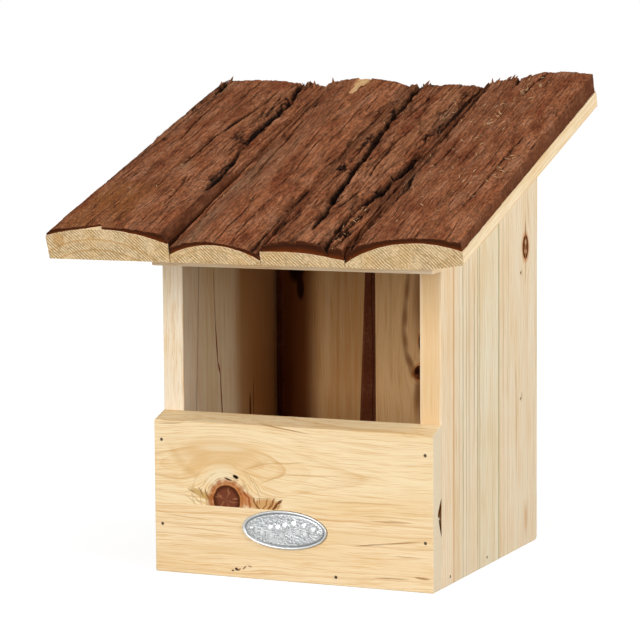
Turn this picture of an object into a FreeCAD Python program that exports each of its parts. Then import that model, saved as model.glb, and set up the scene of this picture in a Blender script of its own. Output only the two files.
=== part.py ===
import FreeCAD, Part
import math
import os

# Open-fronted nest box of pine boards under a roof of four waney slabs that keep their bark.
# Millimetres, +Z up, the open front towards -Y, +X to the right seen from the front.
# While the box is built, y = 0 is the front board's face and z = 0 is the ground.
# At the end it is moved so that the origin is the middle of its footprint.

Vector = FreeCAD.Vector

# Box of sawn pine boards
box_width = 160.0
box_depth = 160.0
board_thickness = 12.0
floor_thickness = 9.0
edge_ease = 0.6
panel_corner = 4.0
front_board_height = 82.0
opening_height = 82.5
eaves_height = 187.0
roof_pitch = 19.0
back_inset = 22.0
board_fit = 0.2

# Left back board: unedged, with bark on both waney edges, the inner wane wider at its foot
back_seam_x = -4.8
wane_angle = 39.0
outer_wane = 5.6
inner_wane_top = 1.2
inner_wane_foot = 11.0
wane_bark = 1.2

# Roof of slabs laid side by side, running up the slope, one column per slab from left to right
# Wood and bark heights are given at a slab's left edge, middle and right edge
roof_length = 218.5
slab_gap = 0.5
cup_rise = 3.5
slab_widths = (70.0, 50.5, 45.5, 63.0)
eave_wood_left = (12.8, 4.1, 7.1, 2.4)
eave_wood_middle = (17.0, 9.8, 7.0, 13.6)
eave_wood_right = (9.7, 2.0, 3.6, 10.2)
eave_bark_left = (3.3, 4.4, 4.6, 7.0)
eave_bark_middle = (1.6, 2.1, 6.6, 3.2)
eave_bark_right = (5.5, 3.9, 6.6, 5.3)
rear_wood_left = (11.0, 8.0, 8.0, 7.0)
rear_wood_middle = (13.5, 12.0, 8.4, 12.6)
rear_wood_right = (9.0, 7.0, 7.0, 11.6)
rear_bark_left = (6.0, 8.5, 8.0, 10.2)
rear_bark_middle = (5.0, 8.2, 8.0, 10.6)
rear_bark_right = (5.5, 7.8, 8.0, 10.6)

# Main cracks of the bark, one row per slab, as points (share of its length, share of its width)
# A crack at share 0 or 1 of the width opens the seam between two slabs
crack_flank = 25.0
crack_depth = 0.65
bark_cracks = (
    (
        ((0.0, 1.0), (0.3, 1.0), (0.46, 1.0)),
        ((0.18, 0.94), (0.39, 0.92), (0.51, 0.87), (0.71, 0.83), (0.88, 0.84), (1.0, 0.78)),
        ((0.46, 0.56), (0.64, 0.58), (0.78, 0.62), (0.93, 0.65)),
    ),
    (
        ((0.0, 1.0), (0.16, 1.0), (0.4, 1.0)),
    ),
    (
        ((0.0, 0.0), (0.16, 0.06)),
        ((0.07, 0.5), (0.23, 0.41), (0.41, 0.34), (0.53, 0.3), (0.74, 0.17), (1.0, 0.13)),
        ((0.0, 0.79), (0.23, 0.78), (0.3, 0.85), (0.44, 0.88), (0.53, 0.91), (0.64, 0.94)),
    ),
    (
        ((0.0, 0.0), (0.24, 0.06), (0.4, 0.08)),
    ),
)

# Wire nails with small heads, sunk a little below the surface
nail_diameter = 1.4
nail_head_diameter = 1.8
nail_head_thickness = 1.0
nail_length = 35.0
nail_sink = 0.25
front_nail_edge = 4.4
front_nail_low = 26.0
front_nail_top_inset = 10.5
front_floor_nail_x = (-32.0, 25.4)
side_floor_nail_y = (24.2, 79.0)
back_nail_z = (84.0, 154.0)
roof_nail_bite = 20.0
side_roof_nail_y = (30.0, 143.0)

# Oval plate pinned to the front board
plate_width = 48.6
plate_height = 20.6
plate_x = -3.5
plate_z = 27.5
plate_base = 0.9
plate_rim_width = 1.5
plate_rim_rise = 0.6
pin_spacing = 38.6
pin_diameter = 1.2
pin_head_diameter = 2.8
pin_head_rise = 0.8
pin_length = 8.0

# Keyhole hanger of pressed sheet, screwed to the back boards in the recess behind them
hanger_width = 34.0
hanger_sheet = 1.5
hanger_stand_off = 4.0
hanger_foot = 15.0
hanger_tongue = 24.0
hanger_corner = 5.0
hanger_below_roof = 14.0
keyhole_diameter = 9.0
keyhole_slot = 4.6
keyhole_travel = 9.0
keyhole_from_top = 14.0
screw_spacing = 22.0
screw_diameter = 3.0
screw_clearance = 0.1
screw_head_diameter = 6.0
screw_head_rise = 2.0
screw_length = 10.0

# Places worked out from the sizes above
half_width = box_width / 2
inner_half = half_width - board_thickness
side_middle = half_width - board_thickness / 2
pitch = math.radians(roof_pitch)
back_rear = box_depth - back_inset
back_front = back_rear - board_thickness
back_left_x0 = board_fit - inner_half
wane_slope = math.tan(math.radians(wane_angle))
lintel_bottom = front_board_height + opening_height
eave_y = box_depth - roof_length * math.cos(pitch)


def slope_height(y):
    """Height of the roof's underside at depth y."""
    return eaves_height + y * math.tan(pitch)


def prism(points, along):
    """Solid of a flat outline pushed along a vector."""
    return Part.Face(Part.makePolygon(points + points[:1])).extrude(along)


def across(outline, x0, x1):
    """Board whose (y, z) outline runs across the box from x0 to x1."""
    return prism([Vector(x0, y, z) for y, z in outline], Vector(x1 - x0, 0, 0))


def under_roof(y0, y1, bottom):
    """Outline (y, z) of a board that reaches up to the roof's underside."""
    return [(y0, bottom), (y1, bottom), (y1, slope_height(y1)), (y0, slope_height(y0))]


def eased(board):
    """Board with its sawn edges rubbed down."""
    return board.makeFillet(edge_ease, board.Edges)


def round_cornered(panel):
    """Side panel with its lower rear corner rounded off."""
    corner_y = box_depth - panel_corner
    length = 2 * box_width
    start = Vector(-box_width, corner_y, panel_corner)
    block = Part.makeBox(length, panel_corner, panel_corner, Vector(-box_width, corner_y, 0))
    bar = Part.makeCylinder(panel_corner, length, start, Vector(1, 0, 0))
    return panel.cut(block.cut(bar))


def nail(point, direction, length):
    """Nail driven in at a point of the surface, head and shank in one."""
    top = point + direction * nail_sink
    head = Part.makeCylinder(nail_head_diameter / 2, nail_head_thickness, top, direction)
    shank = Part.makeCylinder(nail_diameter / 2, length - nail_sink, top, direction)
    return head.fuse(shank).removeSplitter()


def nail_hole(point, direction, length):
    """What a nail takes out of the boards: itself and the dent above its head."""
    outside = point - direction * nail_head_thickness
    depth = nail_head_thickness + nail_sink
    dent = Part.makeCylinder(nail_head_diameter / 2, depth, outside, direction)
    return nail(point, direction, length).fuse(dent)


def driven(places, direction, length=nail_length):
    """Nails at some points, all driven the same way, and the holes for them."""
    nails = [nail(point, direction, length) for point in places]
    holes = [nail_hole(point, direction, length) for point in places]
    return Part.makeCompound(nails), Part.makeCompound(holes)


def round_headed(point, outward, diameter, length, head_diameter, head_rise):
    """Pin or screw with a domed head that sits on a surface at a point."""
    radius = diameter / 2
    rim = head_diameter / 2
    ball = (rim ** 2 + head_rise ** 2) / (2 * head_rise)
    half_turn = math.asin(rim / ball) / 2
    crown = Vector(ball * math.sin(half_turn), 0, head_rise - ball * (1 - math.cos(half_turn)))
    corners = [
        Vector(0, 0, head_rise),
        Vector(0, 0, -length),
        Vector(radius, 0, -length),
        Vector(radius, 0, 0),
        Vector(rim, 0, 0),
    ]
    dome = Part.Arc(corners[-1], crown, corners[0]).toShape()
    outline = Part.Wire(Part.makePolygon(corners).Edges + [dome])
    turned = Part.Face(outline).revolve(Vector(0, 0, 0), Vector(0, 0, 1), 360)
    turned.Placement = FreeCAD.Placement(point, FreeCAD.Rotation(Vector(0, 0, 1), outward))
    return turned


def slab_outline(x0, x1, low, high, s, cupped=False):
    """Outline across a slab or its bark, s up the slope: upright sides, curved below and above."""
    def at(x, height):
        return Vector(x, s, height)

    middle = (x0 + x1) / 2
    foot_left = at(x0, low[0])
    foot_right = at(x1, low[2])
    if cupped:
        # Flat as far as the side panel's outer face, then rising to the outer edge
        run = x1 - half_width
        radius = (run ** 2 + cup_rise ** 2) / (2 * cup_rise)
        turn = math.asin(run / radius) / 2
        bend = at(half_width + radius * math.sin(turn), radius * (1 - math.cos(turn)))
        foot_right = at(x1, cup_rise)
        seat = at(half_width, low[0])
        under = [Part.makeLine(foot_left, seat), Part.Arc(seat, bend, foot_right).toShape()]
    elif low[0] == low[1] == low[2]:
        under = [Part.makeLine(foot_left, foot_right)]
    else:
        under = [Part.Arc(foot_left, at(middle, low[1]), foot_right).toShape()]
    top_left = at(x0, high[0])
    top_right = at(x1, high[2])
    crown = Part.Arc(top_right, at(middle, high[1]), top_left).toShape()
    right = Part.makeLine(foot_right, top_right)
    left = Part.makeLine(top_left, foot_left)
    return Part.Wire(under + [right, crown, left])


def slab_piece(x0, x1, eave_low, eave_high, rear_low, rear_high, cupped=False):
    """Wood or bark of a slab, from the eave to the rear, between its lower and upper heights."""
    eave = slab_outline(x0, x1, eave_low, eave_high, 0.0, cupped)
    rear = slab_outline(x0, x1, rear_low, rear_high, roof_length, cupped)
    return Part.makeLoft([eave, rear], True, True)


def stacked(wood, bark):
    """Heights of the bark's top: the wood's heights with the bark's thickness on them."""
    return [low + thickness for low, thickness in zip(wood, bark)]


def bark_span(bark, x, s):
    """Heights of the bark's underside and top at x across and s up the slope."""
    probe = Part.makeLine(Vector(x, s, 0), Vector(x, s, 2 * bark.BoundBox.ZMax))
    heights = [vertex.Z for vertex in bark.common(probe).Vertexes]
    return min(heights), max(heights)


def crack_wedge(bark, points):
    """Wedge that a crack takes out of the bark; it runs out where it ends within the slab."""
    edges = bark.BoundBox
    reach = 2 * edges.ZMax
    spread = reach * math.tan(math.radians(crack_flank))
    sections = []
    for number, (along, aside) in enumerate(points):
        x = edges.XMin + aside * edges.XLength
        s = along * roof_length
        # The bark is measured just inside its edges, and the wedge leaves it at its ends
        inside_x = min(max(x, edges.XMin + edge_ease), edges.XMax - edge_ease)
        inside_s = min(max(s, edge_ease), roof_length - edge_ease)
        low, high = bark_span(bark, inside_x, inside_s)
        ends_here = number in (0, len(points) - 1) and 0 < along < 1
        bottom = high if ends_here else high - crack_depth * (high - low)
        place = s + (s - inside_s)
        foot = Vector(x, place, bottom)
        left = Vector(x - spread, place, bottom + reach)
        right = Vector(x + spread, place, bottom + reach)
        sections.append(Part.makePolygon([foot, right, left, foot]))
    return Part.makeLoft(sections, True, True)


def up_the_back(foot, top):
    """Piece of the back whose flat section changes from foot to top, cut off under the roof."""
    below = across(under_roof(back_front, back_rear, 0.0), -inner_half, inner_half)
    return Part.makeLoft([foot, top], True, True).common(below)


def unedged_section(inner_wane, z):
    """Section (x, y) of the left back board without the bark on its wanes."""
    outer_cut = outer_wane + wane_bark
    inner_cut = inner_wane + wane_bark
    return Part.makePolygon([
        Vector(back_left_x0, back_rear, z),
        Vector(back_seam_x, back_rear, z),
        Vector(back_seam_x, back_front + inner_cut * wane_slope, z),
        Vector(back_seam_x - inner_cut, back_front, z),
        Vector(back_left_x0 + outer_cut, back_front, z),
        Vector(back_left_x0, back_front + outer_cut * wane_slope, z),
        Vector(back_left_x0, back_rear, z),
    ])


def wane_section(edge_x, inward, wane, z):
    """Section (x, y) of the layer of bark on one wane."""
    cut = wane + wane_bark
    outer = Vector(edge_x + inward * wane, back_front, z)
    return Part.makePolygon([
        outer,
        Vector(edge_x + inward * cut, back_front, z),
        Vector(edge_x, back_front + cut * wane_slope, z),
        Vector(edge_x, back_front + wane * wane_slope, z),
        outer,
    ])


def oval(width, height, thickness):
    """Oval disc lying on the front board's face, standing out towards the viewer."""
    edge = Part.Ellipse(Vector(0, 0, 0), width / 2, height / 2).toShape()
    disc = Part.Face(Part.Wire(edge)).extrude(Vector(0, 0, thickness))
    upright = FreeCAD.Rotation(Vector(1, 0, 0), 90)
    disc.Placement = FreeCAD.Placement(Vector(plate_x, 0, plate_z), upright)
    return disc


def name_oval():
    """Oval plate with a raised rim round a sunk field."""
    rim = oval(plate_width, plate_height, plate_base + plate_rim_rise)
    inner_width = plate_width - 2 * plate_rim_width
    inner_height = plate_height - 2 * plate_rim_width
    field = oval(inner_width, inner_height, plate_base)
    hollow = oval(inner_width, inner_height, plate_base + plate_rim_rise)
    return rim.cut(hollow).fuse(field).removeSplitter()


def hanger(bottom):
    """Pressed plate: a foot on the boards and a tongue that stands off them, with a keyhole."""
    # The step off the boards is at 45 degrees, as far out as up
    bend = hanger_sheet * math.tan(math.radians(45.0) / 2)
    knee = bottom + hanger_foot
    shoulder = knee + hanger_stand_off
    top = shoulder + hanger_tongue
    near = back_rear + hanger_stand_off
    profile = across([
        (back_rear, bottom),
        (back_rear, knee),
        (near, shoulder),
        (near, top),
        (near + hanger_sheet, top),
        (near + hanger_sheet, shoulder - bend),
        (back_rear + hanger_sheet, knee - bend),
        (back_rear + hanger_sheet, bottom),
    ], -hanger_width / 2, hanger_width / 2)
    depth = hanger_stand_off + hanger_sheet
    corner = Vector(-hanger_width / 2, back_rear, bottom)
    blank = Part.makeBox(hanger_width, depth, top - bottom, corner)
    corners = [edge for edge in blank.Edges if abs(edge.Vertexes[0].Y - edge.Vertexes[1].Y) > 0.5 * depth]
    plate = profile.common(blank.makeFillet(hanger_corner, corners))
    return plate.cut(keyhole(top - keyhole_from_top, near))


def keyhole(z, y):
    """Round entry for a wall screw's head, with a slot for its shank running up from it."""
    along = Vector(0, 1, 0)
    entry = Part.makeCylinder(keyhole_diameter / 2, hanger_sheet, Vector(0, y, z), along)
    seat = Vector(0, y, z + keyhole_travel)
    end = Part.makeCylinder(keyhole_slot / 2, hanger_sheet, seat, along)
    low_left = Vector(-keyhole_slot / 2, y, z)
    slot = Part.makeBox(keyhole_slot, hanger_sheet, keyhole_travel, low_left)
    return entry.fuse([end, slot])


nodes = {}

# Nails driven square through the boards
into_back = Vector(0, 1, 0)
into_right = Vector(1, 0, 0)
into_left = Vector(-1, 0, 0)
front_nail_x = half_width - front_nail_edge
front_nail_z = (front_nail_low, front_board_height - front_nail_top_inset)
lintel_nail_z = (lintel_bottom + eaves_height) / 2
floor_middle = floor_thickness / 2
back_middle = (back_front + back_rear) / 2
front_nails, front_holes = driven(
    [Vector(side * front_nail_x, 0, z) for side in (-1, 1) for z in front_nail_z], into_back)
low_nails, low_holes = driven(
    [Vector(x, 0, floor_middle) for x in front_floor_nail_x], into_back)
lintel_nails, lintel_holes = driven(
    [Vector(side * side_middle, 0, lintel_nail_z) for side in (-1, 1)], into_back)
left_floor_nails, left_floor_holes = driven(
    [Vector(-half_width, y, floor_middle) for y in side_floor_nail_y], into_right)
right_floor_nails, right_floor_holes = driven(
    [Vector(half_width, y, floor_middle) for y in side_floor_nail_y], into_left)
left_back_nails, left_back_holes = driven(
    [Vector(-half_width, back_middle, z) for z in back_nail_z], into_right)
right_back_nails, right_back_holes = driven(
    [Vector(half_width, back_middle, z) for z in back_nail_z], into_left)
nodes["front_board_nails"] = front_nails
nodes["front_floor_nails"] = low_nails
nodes["lintel_nails"] = lintel_nails
nodes["left_floor_nails"] = left_floor_nails
nodes["right_floor_nails"] = right_floor_nails
nodes["left_back_nails"] = left_back_nails
nodes["right_back_nails"] = right_back_nails

# Roof slabs, made flat with y up the slope and then tilted on to the box
tilt = FreeCAD.Placement(
    Vector(0, eave_y, slope_height(eave_y)), FreeCAD.Rotation(Vector(1, 0, 0), roof_pitch))
tilt_matrix = tilt.toMatrix()
bite_drift = roof_nail_bite * math.sin(pitch) / 2
lintel_entry = board_thickness / 2 - bite_drift
back_entry = back_middle - bite_drift
roof_width = sum(slab_widths) + slab_gap * (len(slab_widths) - 1)
eave_wood = list(zip(eave_wood_left, eave_wood_middle, eave_wood_right))
eave_bark = list(zip(eave_bark_left, eave_bark_middle, eave_bark_right))
rear_wood = list(zip(rear_wood_left, rear_wood_middle, rear_wood_right))
rear_bark = list(zip(rear_bark_left, rear_bark_middle, rear_bark_right))
sawn_face = (0.0, 0.0, 0.0)
roof_nails = []
roof_holes = []
x0 = -roof_width / 2
for i, width in enumerate(slab_widths):
    x1 = x0 + width
    cupped = i == len(slab_widths) - 1
    wood = slab_piece(x0, x1, sawn_face, eave_wood[i], sawn_face, rear_wood[i], cupped)
    eave_top = stacked(eave_wood[i], eave_bark[i])
    rear_top = stacked(rear_wood[i], rear_bark[i])
    whole_bark = slab_piece(x0, x1, eave_wood[i], eave_top, rear_wood[i], rear_top)
    bark = whole_bark.cut([crack_wedge(whole_bark, points) for points in bark_cracks[i]])
    if x0 < -side_middle < x1 or x0 < side_middle < x1:
        nail_x = math.copysign(side_middle, x0 + x1)
        depths = side_roof_nail_y
    else:
        nail_x = (x0 + x1) / 2
        depths = (lintel_entry, back_entry)
    for y in depths:
        s = (y - eave_y) / math.cos(pitch)
        height = bark_span(bark, nail_x, s)[1]
        fixing, hole = driven([Vector(nail_x, s, height)], Vector(0, 0, -1), height + roof_nail_bite)
        wood = wood.cut(hole)
        bark = bark.cut(hole)
        roof_nails.append(fixing.transformed(tilt_matrix))
        roof_holes.append(hole.transformed(tilt_matrix))
    nodes[f"roof_slab_{i + 1}"] = wood.transformed(tilt_matrix)
    nodes[f"roof_bark_{i + 1}"] = bark.transformed(tilt_matrix)
    x0 = x1 + slab_gap
nodes["roof_nails"] = Part.makeCompound([one.Solids[0] for one in roof_nails])
roof_holes = Part.makeCompound(roof_holes)

# Oval plate and its pins
outward = Vector(0, -1, 0)
pins = [
    round_headed(
        Vector(plate_x + side * pin_spacing / 2, -plate_base, plate_z), outward,
        pin_diameter, pin_length, pin_head_diameter, pin_head_rise)
    for side in (-1, 1)
]
nodes["oval_plate"] = name_oval().cut(pins)
nodes["plate_pins"] = Part.makeCompound(pins)

# Hanger in the recess, its screws one in each back board
hanger_height = hanger_foot + hanger_stand_off + hanger_tongue
hanger_bottom = slope_height(back_rear) - hanger_below_roof - hanger_height
screw_places = [
    Vector(side * screw_spacing / 2, back_rear + hanger_sheet, hanger_bottom + hanger_foot / 2)
    for side in (-1, 1)
]
screws = [
    round_headed(place, into_back, screw_diameter, screw_length, screw_head_diameter, screw_head_rise)
    for place in screw_places
]
screw_holes = [
    Part.makeCylinder(screw_diameter / 2 + screw_clearance, hanger_sheet, place, outward)
    for place in screw_places
]
nodes["hanger_plate"] = hanger(hanger_bottom).cut(screw_holes)
nodes["hanger_screws"] = Part.makeCompound(screws)

# Boards of the box
front_rise = board_thickness * math.tan(pitch)
front_outline = [
    (0, 0),
    (board_thickness, 0),
    (board_thickness, front_board_height + front_rise),
    (0, front_board_height),
]
front = eased(across(front_outline, -half_width, half_width))
nodes["front_board"] = front.cut([front_holes, low_holes] + pins)
lintel = eased(across(under_roof(0, board_thickness, lintel_bottom), -half_width, half_width))
nodes["front_lintel"] = lintel.cut([lintel_holes, roof_holes])
side_outline = under_roof(board_thickness, box_depth, 0)
left = round_cornered(eased(across(side_outline, -half_width, -inner_half)))
right = round_cornered(eased(across(side_outline, inner_half, half_width)))
shared_holes = [front_holes, lintel_holes, roof_holes]
nodes["left_side_panel"] = left.cut(shared_holes + [left_floor_holes, left_back_holes])
nodes["right_side_panel"] = right.cut(shared_holes + [right_floor_holes, right_back_holes])
floor_corner = Vector(board_fit - inner_half, board_thickness, 0)
floor_width = 2 * (inner_half - board_fit)
floor_depth = back_front - board_thickness
floor = eased(Part.makeBox(floor_width, floor_depth, floor_thickness, floor_corner))
nodes["floor_board"] = floor.cut([low_holes, left_floor_holes, right_floor_holes])

# Back boards: the unedged one on the left with its bark, a square-edged one on the right
back_top = slope_height(back_rear)
back_holes = [left_back_holes, right_back_holes, roof_holes] + screws
back_left = up_the_back(unedged_section(inner_wane_foot, 0.0), unedged_section(inner_wane_top, back_top))
nodes["back_board_left"] = back_left.cut(back_holes)
outer_bark = up_the_back(
    wane_section(back_left_x0, 1, outer_wane, 0.0),
    wane_section(back_left_x0, 1, outer_wane, back_top)).cut(left_back_holes)
inner_bark = up_the_back(
    wane_section(back_seam_x, -1, inner_wane_foot, 0.0),
    wane_section(back_seam_x, -1, inner_wane_top, back_top))
nodes["back_board_bark"] = Part.makeCompound([outer_bark, inner_bark])
back_outline = under_roof(back_front, back_rear, 0)
back_right = eased(across(back_outline, back_seam_x + board_fit, inner_half - board_fit))
nodes["back_board_right"] = back_right.cut(back_holes)

# Origin in the middle of the footprint, on the ground
whole = Part.makeCompound(list(nodes.values())).optimalBoundingBox(False, False)
to_origin = Vector(-(whole.XMin + whole.XMax) / 2, -(whole.YMin + whole.YMax) / 2, -whole.ZMin)
os.makedirs("parts", exist_ok=True)
for name, shape in nodes.items():
    placed = shape.translated(to_origin)
    placed = placed.Solids[0] if len(placed.Solids) == 1 else Part.makeCompound(placed.Solids)
    placed.exportStep(f"parts/{name}.step")
print(f"overall {whole.XLength:.2f} x {whole.YLength:.2f} x {whole.ZLength:.2f}, moved {to_origin}")
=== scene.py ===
import math
from functools import partial

import bpy
import numpy as np
from mathutils import Matrix, Vector
from mathutils.bvhtree import BVHTree


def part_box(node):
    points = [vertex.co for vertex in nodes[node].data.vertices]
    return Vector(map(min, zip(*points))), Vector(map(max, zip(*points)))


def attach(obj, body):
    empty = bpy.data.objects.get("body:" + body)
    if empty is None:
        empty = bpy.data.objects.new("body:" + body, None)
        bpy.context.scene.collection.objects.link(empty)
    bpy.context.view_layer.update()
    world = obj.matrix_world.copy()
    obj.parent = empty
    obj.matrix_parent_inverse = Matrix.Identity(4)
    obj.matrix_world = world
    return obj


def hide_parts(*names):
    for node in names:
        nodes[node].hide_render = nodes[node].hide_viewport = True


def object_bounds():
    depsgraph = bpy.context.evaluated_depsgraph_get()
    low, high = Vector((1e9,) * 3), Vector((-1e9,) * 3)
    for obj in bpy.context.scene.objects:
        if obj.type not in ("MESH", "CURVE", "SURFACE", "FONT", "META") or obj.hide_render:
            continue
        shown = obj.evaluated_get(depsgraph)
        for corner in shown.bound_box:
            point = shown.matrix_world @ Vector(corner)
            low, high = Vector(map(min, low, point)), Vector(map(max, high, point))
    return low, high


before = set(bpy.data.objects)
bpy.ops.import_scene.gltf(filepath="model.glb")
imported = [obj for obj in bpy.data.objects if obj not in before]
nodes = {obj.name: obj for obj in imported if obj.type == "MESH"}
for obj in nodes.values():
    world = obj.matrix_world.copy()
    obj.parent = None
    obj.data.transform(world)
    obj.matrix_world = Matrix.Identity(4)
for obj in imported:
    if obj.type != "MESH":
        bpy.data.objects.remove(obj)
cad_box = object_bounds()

# Open-fronted nest box of pine under a roof of four slabs that keep their bark.
# Places are in millimetres as the box was measured: x to the right, y in from the front
# board's face, z up. On the roof they are x, s up the slope from the eave and h above the
# slabs' sawn underside.
MM = 0.001
ROOF_PITCH = math.radians(19.0)
ROOF_LENGTH = 218.5
UP_SLOPE = np.array([0.0, math.cos(ROOF_PITCH), math.sin(ROOF_PITCH)])
OFF_SLOPE = np.array([0.0, -math.sin(ROOF_PITCH), math.cos(ROOF_PITCH)])
FRONT_FACE_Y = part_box("front_board")[0].y / MM
EAVE_Y = cad_box[1].y / MM - ROOF_LENGTH * math.cos(ROOF_PITCH)
EAVE_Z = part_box("roof_slab_1")[0].z / MM

# Kinds of node that are used often. A Map Range node takes, in order, its value, where that
# starts and ends, and what the node gives there.
VECTOR = "ShaderNodeVectorMath"
NOISE = "ShaderNodeTexNoise"
MIX = "ShaderNodeMix"
RAMP = "ShaderNodeValToRGB"
RANGE = "ShaderNodeMapRange"
MAPPING = "ShaderNodeMapping"
COMBINE = "ShaderNodeCombineXYZ"
SEPARATE = "ShaderNodeSeparateXYZ"
SCATTER = "ShaderNodeTexWhiteNoise"
ATTRIBUTE = "ShaderNodeAttribute"
RANDOM = "FunctionNodeRandomValue"
# Settings of a Mix node that mixes the colours of its inputs 6 and 7, or multiplies them
COLOURS = {"data_type": "RGBA", "out": 2}
TINTED = {**COLOURS, "blend_type": "MULTIPLY"}

scene = bpy.context.scene


def linear(colour):
    """sRGB hex colour, or a shade of grey as a number, as the linear value that a shader takes."""
    if not isinstance(colour, str):
        return [colour, colour, colour, 1.0]
    parts = [int(colour[i:i + 2], 16) / 255 for i in (1, 3, 5)]
    return [c / 12.92 if c <= 0.04045 else ((c + 0.055) / 1.055) ** 2.4 for c in parts] + [1.0]


def add(tree, kind, inputs=(), out=0, stops=None, stepped=False, **settings):
    """Adds a node with its settings, sets or links its inputs and returns one of its outputs.

    A kind in capitals is an operation of the Math node. Inputs are given in order, or by name or number.
    """
    if kind.isupper():
        settings["operation"] = kind
        kind = "ShaderNodeMath"
    made = tree.nodes.new(kind)
    for name, value in settings.items():
        setattr(made, name, value)
    keyed = inputs.items() if isinstance(inputs, dict) else enumerate(inputs)
    for key, value in keyed:
        if isinstance(value, bpy.types.NodeSocket):
            tree.links.new(value, made.inputs[key])
        else:
            is_colour = isinstance(value, str) and value.startswith("#")
            made.inputs[key].default_value = linear(value) if is_colour else value
    if stops:
        ramp = made.color_ramp
        ramp.interpolation = "CONSTANT" if stepped else "LINEAR"
        ramp.elements.remove(ramp.elements[-1])
        ramp.elements[0].position = stops[0][0]
        ramp.elements[0].color = linear(stops[0][1])
        for place, colour in stops[1:]:
            ramp.elements.new(place).color = linear(colour)
    return made.outputs[out] if made.outputs else None


def blank(name):
    """New material with an empty tree, and the function that adds nodes to it."""
    material = bpy.data.materials.new(name)
    material.use_nodes = True
    material.node_tree.nodes.clear()
    return material, partial(add, material.node_tree)


def finish_material(new, colour, relief, strength, depth, surface):
    """Ends a material with its colour, a relief of some depth in millimetres and its surface."""
    bump = new("ShaderNodeBump", {"Strength": strength, "Distance": depth * MM, "Height": relief})
    shader = new("ShaderNodeBsdfPrincipled", {"Base Color": colour, "Normal": bump, **surface})
    new("ShaderNodeOutputMaterial", {"Surface": shader})


def place_of(new, on_roof=False):
    """Shader's place in millimetres: x, y and z of the box, or x, s and h of the roof."""
    here = new("ShaderNodeTexCoord", out="Object")
    scaled = new(VECTOR, {0: here, "Scale": 1 / MM}, operation="SCALE")
    if on_roof:
        return new(MAPPING, {0: scaled, "Location": (0.0, EAVE_Y, EAVE_Z),
                             "Rotation": (ROOF_PITCH, 0.0, 0.0)}, vector_type="TEXTURE")
    return new(VECTOR, [scaled, (0.0, FRONT_FACE_Y, 0.0)], operation="SUBTRACT")


def mottle(new, where, per_mm, detail, roughness=0.5, distortion=0.0, out=0):
    """Noise with so many lumps per millimetre along each axis."""
    scaled = new(VECTOR, [where, per_mm], operation="MULTIPLY")
    return new(NOISE, {"Vector": scaled, "Scale": 1.0, "Detail": detail, "Roughness": roughness,
                       "Distortion": distortion}, out=out)


# Sawn pine
EARLY_WOOD = "#faecd4"
LATE_WOOD = "#d6a86c"
HONEY = "#ecc992"
DASH = "#bd8a50"
END_GRAIN = "#f8f2e8"
SAW_MARK = "#8a6a38"
# Painted shade on slab edges beside the gaps between slabs
GAP_SHADE = "#3a2014"
KNOT_HALO = "#c07c42"
KNOT_DARK = "#4a2414"
KNOT_RING = 1.1
STAVE_APART = 1000.0
RINGS_APART = 41.0
RIGHT_THROUGH = 1.0e5
SHADED_FACE_DEPTH = 1.5
GAP_SHADE_WIDTH = 2.2
GRAIN_WAYS = {"X": (1.0, 0.0, 0.0), "Y": tuple(UP_SLOPE), "Z": (0.0, 0.0, 1.0)}


def blot(new, colour, where, middle, half_sizes, turn, hue, strength, softness):
    """Colour with one soft-edged mark laid over it."""
    local = new(MAPPING, [where, middle, turn, half_sizes], vector_type="TEXTURE")
    size = new(VECTOR, [local], out="Value", operation="LENGTH")
    cover = new(RANGE, [size, 1.0, 1.0 - softness, 0.0, strength], interpolation_type="SMOOTHSTEP")
    return new(MIX, {0: cover, 6: colour, 7: hue}, **COLOURS)


def lay_marks(new, colour, where, marks):
    """Colour with marks laid over it that reach right through the board."""
    for at, mark_t, mark_u, half_t, half_u, angle, *paint in marks:
        colour = blot(new, colour, where, (mark_t, mark_u + at * STAVE_APART, 0.0),
                      (half_t, half_u, RIGHT_THROUGH), (0.0, 0.0, math.radians(angle)), *paint)
    return colour


def trails(stave, rows):
    """Marks end to end along cracks or streaks.

    A row has the points, half width, colour, strength and softness of one.
    """
    overlap = 1.7
    marks = []
    for points, half, *paint in rows:
        for (t0, u0), (t1, u1) in zip(points, points[1:]):
            length = math.hypot(t1 - t0, u1 - u0) / 2
            turn = math.degrees(math.atan2(u1 - u0, t1 - t0))
            marks.append((stave, (t0 + t1) / 2, (u0 + u1) / 2, overlap * length, half, turn, *paint))
    return marks


def hoop(new, colour, where, middle, radii, half, hue, strength):
    """Colour with a broken ring laid over it; half is its half width as a share of its radius."""
    local = new(MAPPING, {0: where, "Location": middle, "Scale": radii}, vector_type="TEXTURE")
    size = new(VECTOR, [local], out="Value", operation="LENGTH")
    off = new("ABSOLUTE", [new("SUBTRACT", [size, 1.0])])
    broken = new(NOISE, {"Vector": local, "Scale": 2.2, "Detail": 3.0})
    wide = new(RANGE, [broken, 0.35, 0.6, 0.0, 2.0 * half])
    within = new("SUBTRACT", [wide, off])
    cover = new(RANGE, [within, 0.0, half, 0.0, strength])
    return new(MIX, {0: cover, 6: colour, 7: hue}, **COLOURS)


def round_knots(new, flat, u, knots):
    """Place across the board as the grain bends it, like a stream round a stone, and each knot's place."""
    bent = u
    eyes = []
    for at, knot_t, knot_u, half_t, half_u, spread, heart, crackle in knots:
        middle = (knot_t, knot_u + at * STAVE_APART, 0.0)
        reach = (half_t * spread, half_u * spread, RIGHT_THROUGH)
        local = new(MAPPING, {0: flat, "Location": middle, "Scale": reach}, vector_type="TEXTURE")
        square = new(VECTOR, [local, local], out="Value", operation="DOT_PRODUCT")
        pull = new("DIVIDE", [1.0, new("MAXIMUM", [square, 1.0])])
        push = new("MULTIPLY", [new("SUBTRACT", [u, knot_u]), pull])
        bent = new("SUBTRACT", [bent, push])
        eyes.append((local, half_u, spread, heart, crackle))
    return bent, eyes


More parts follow.
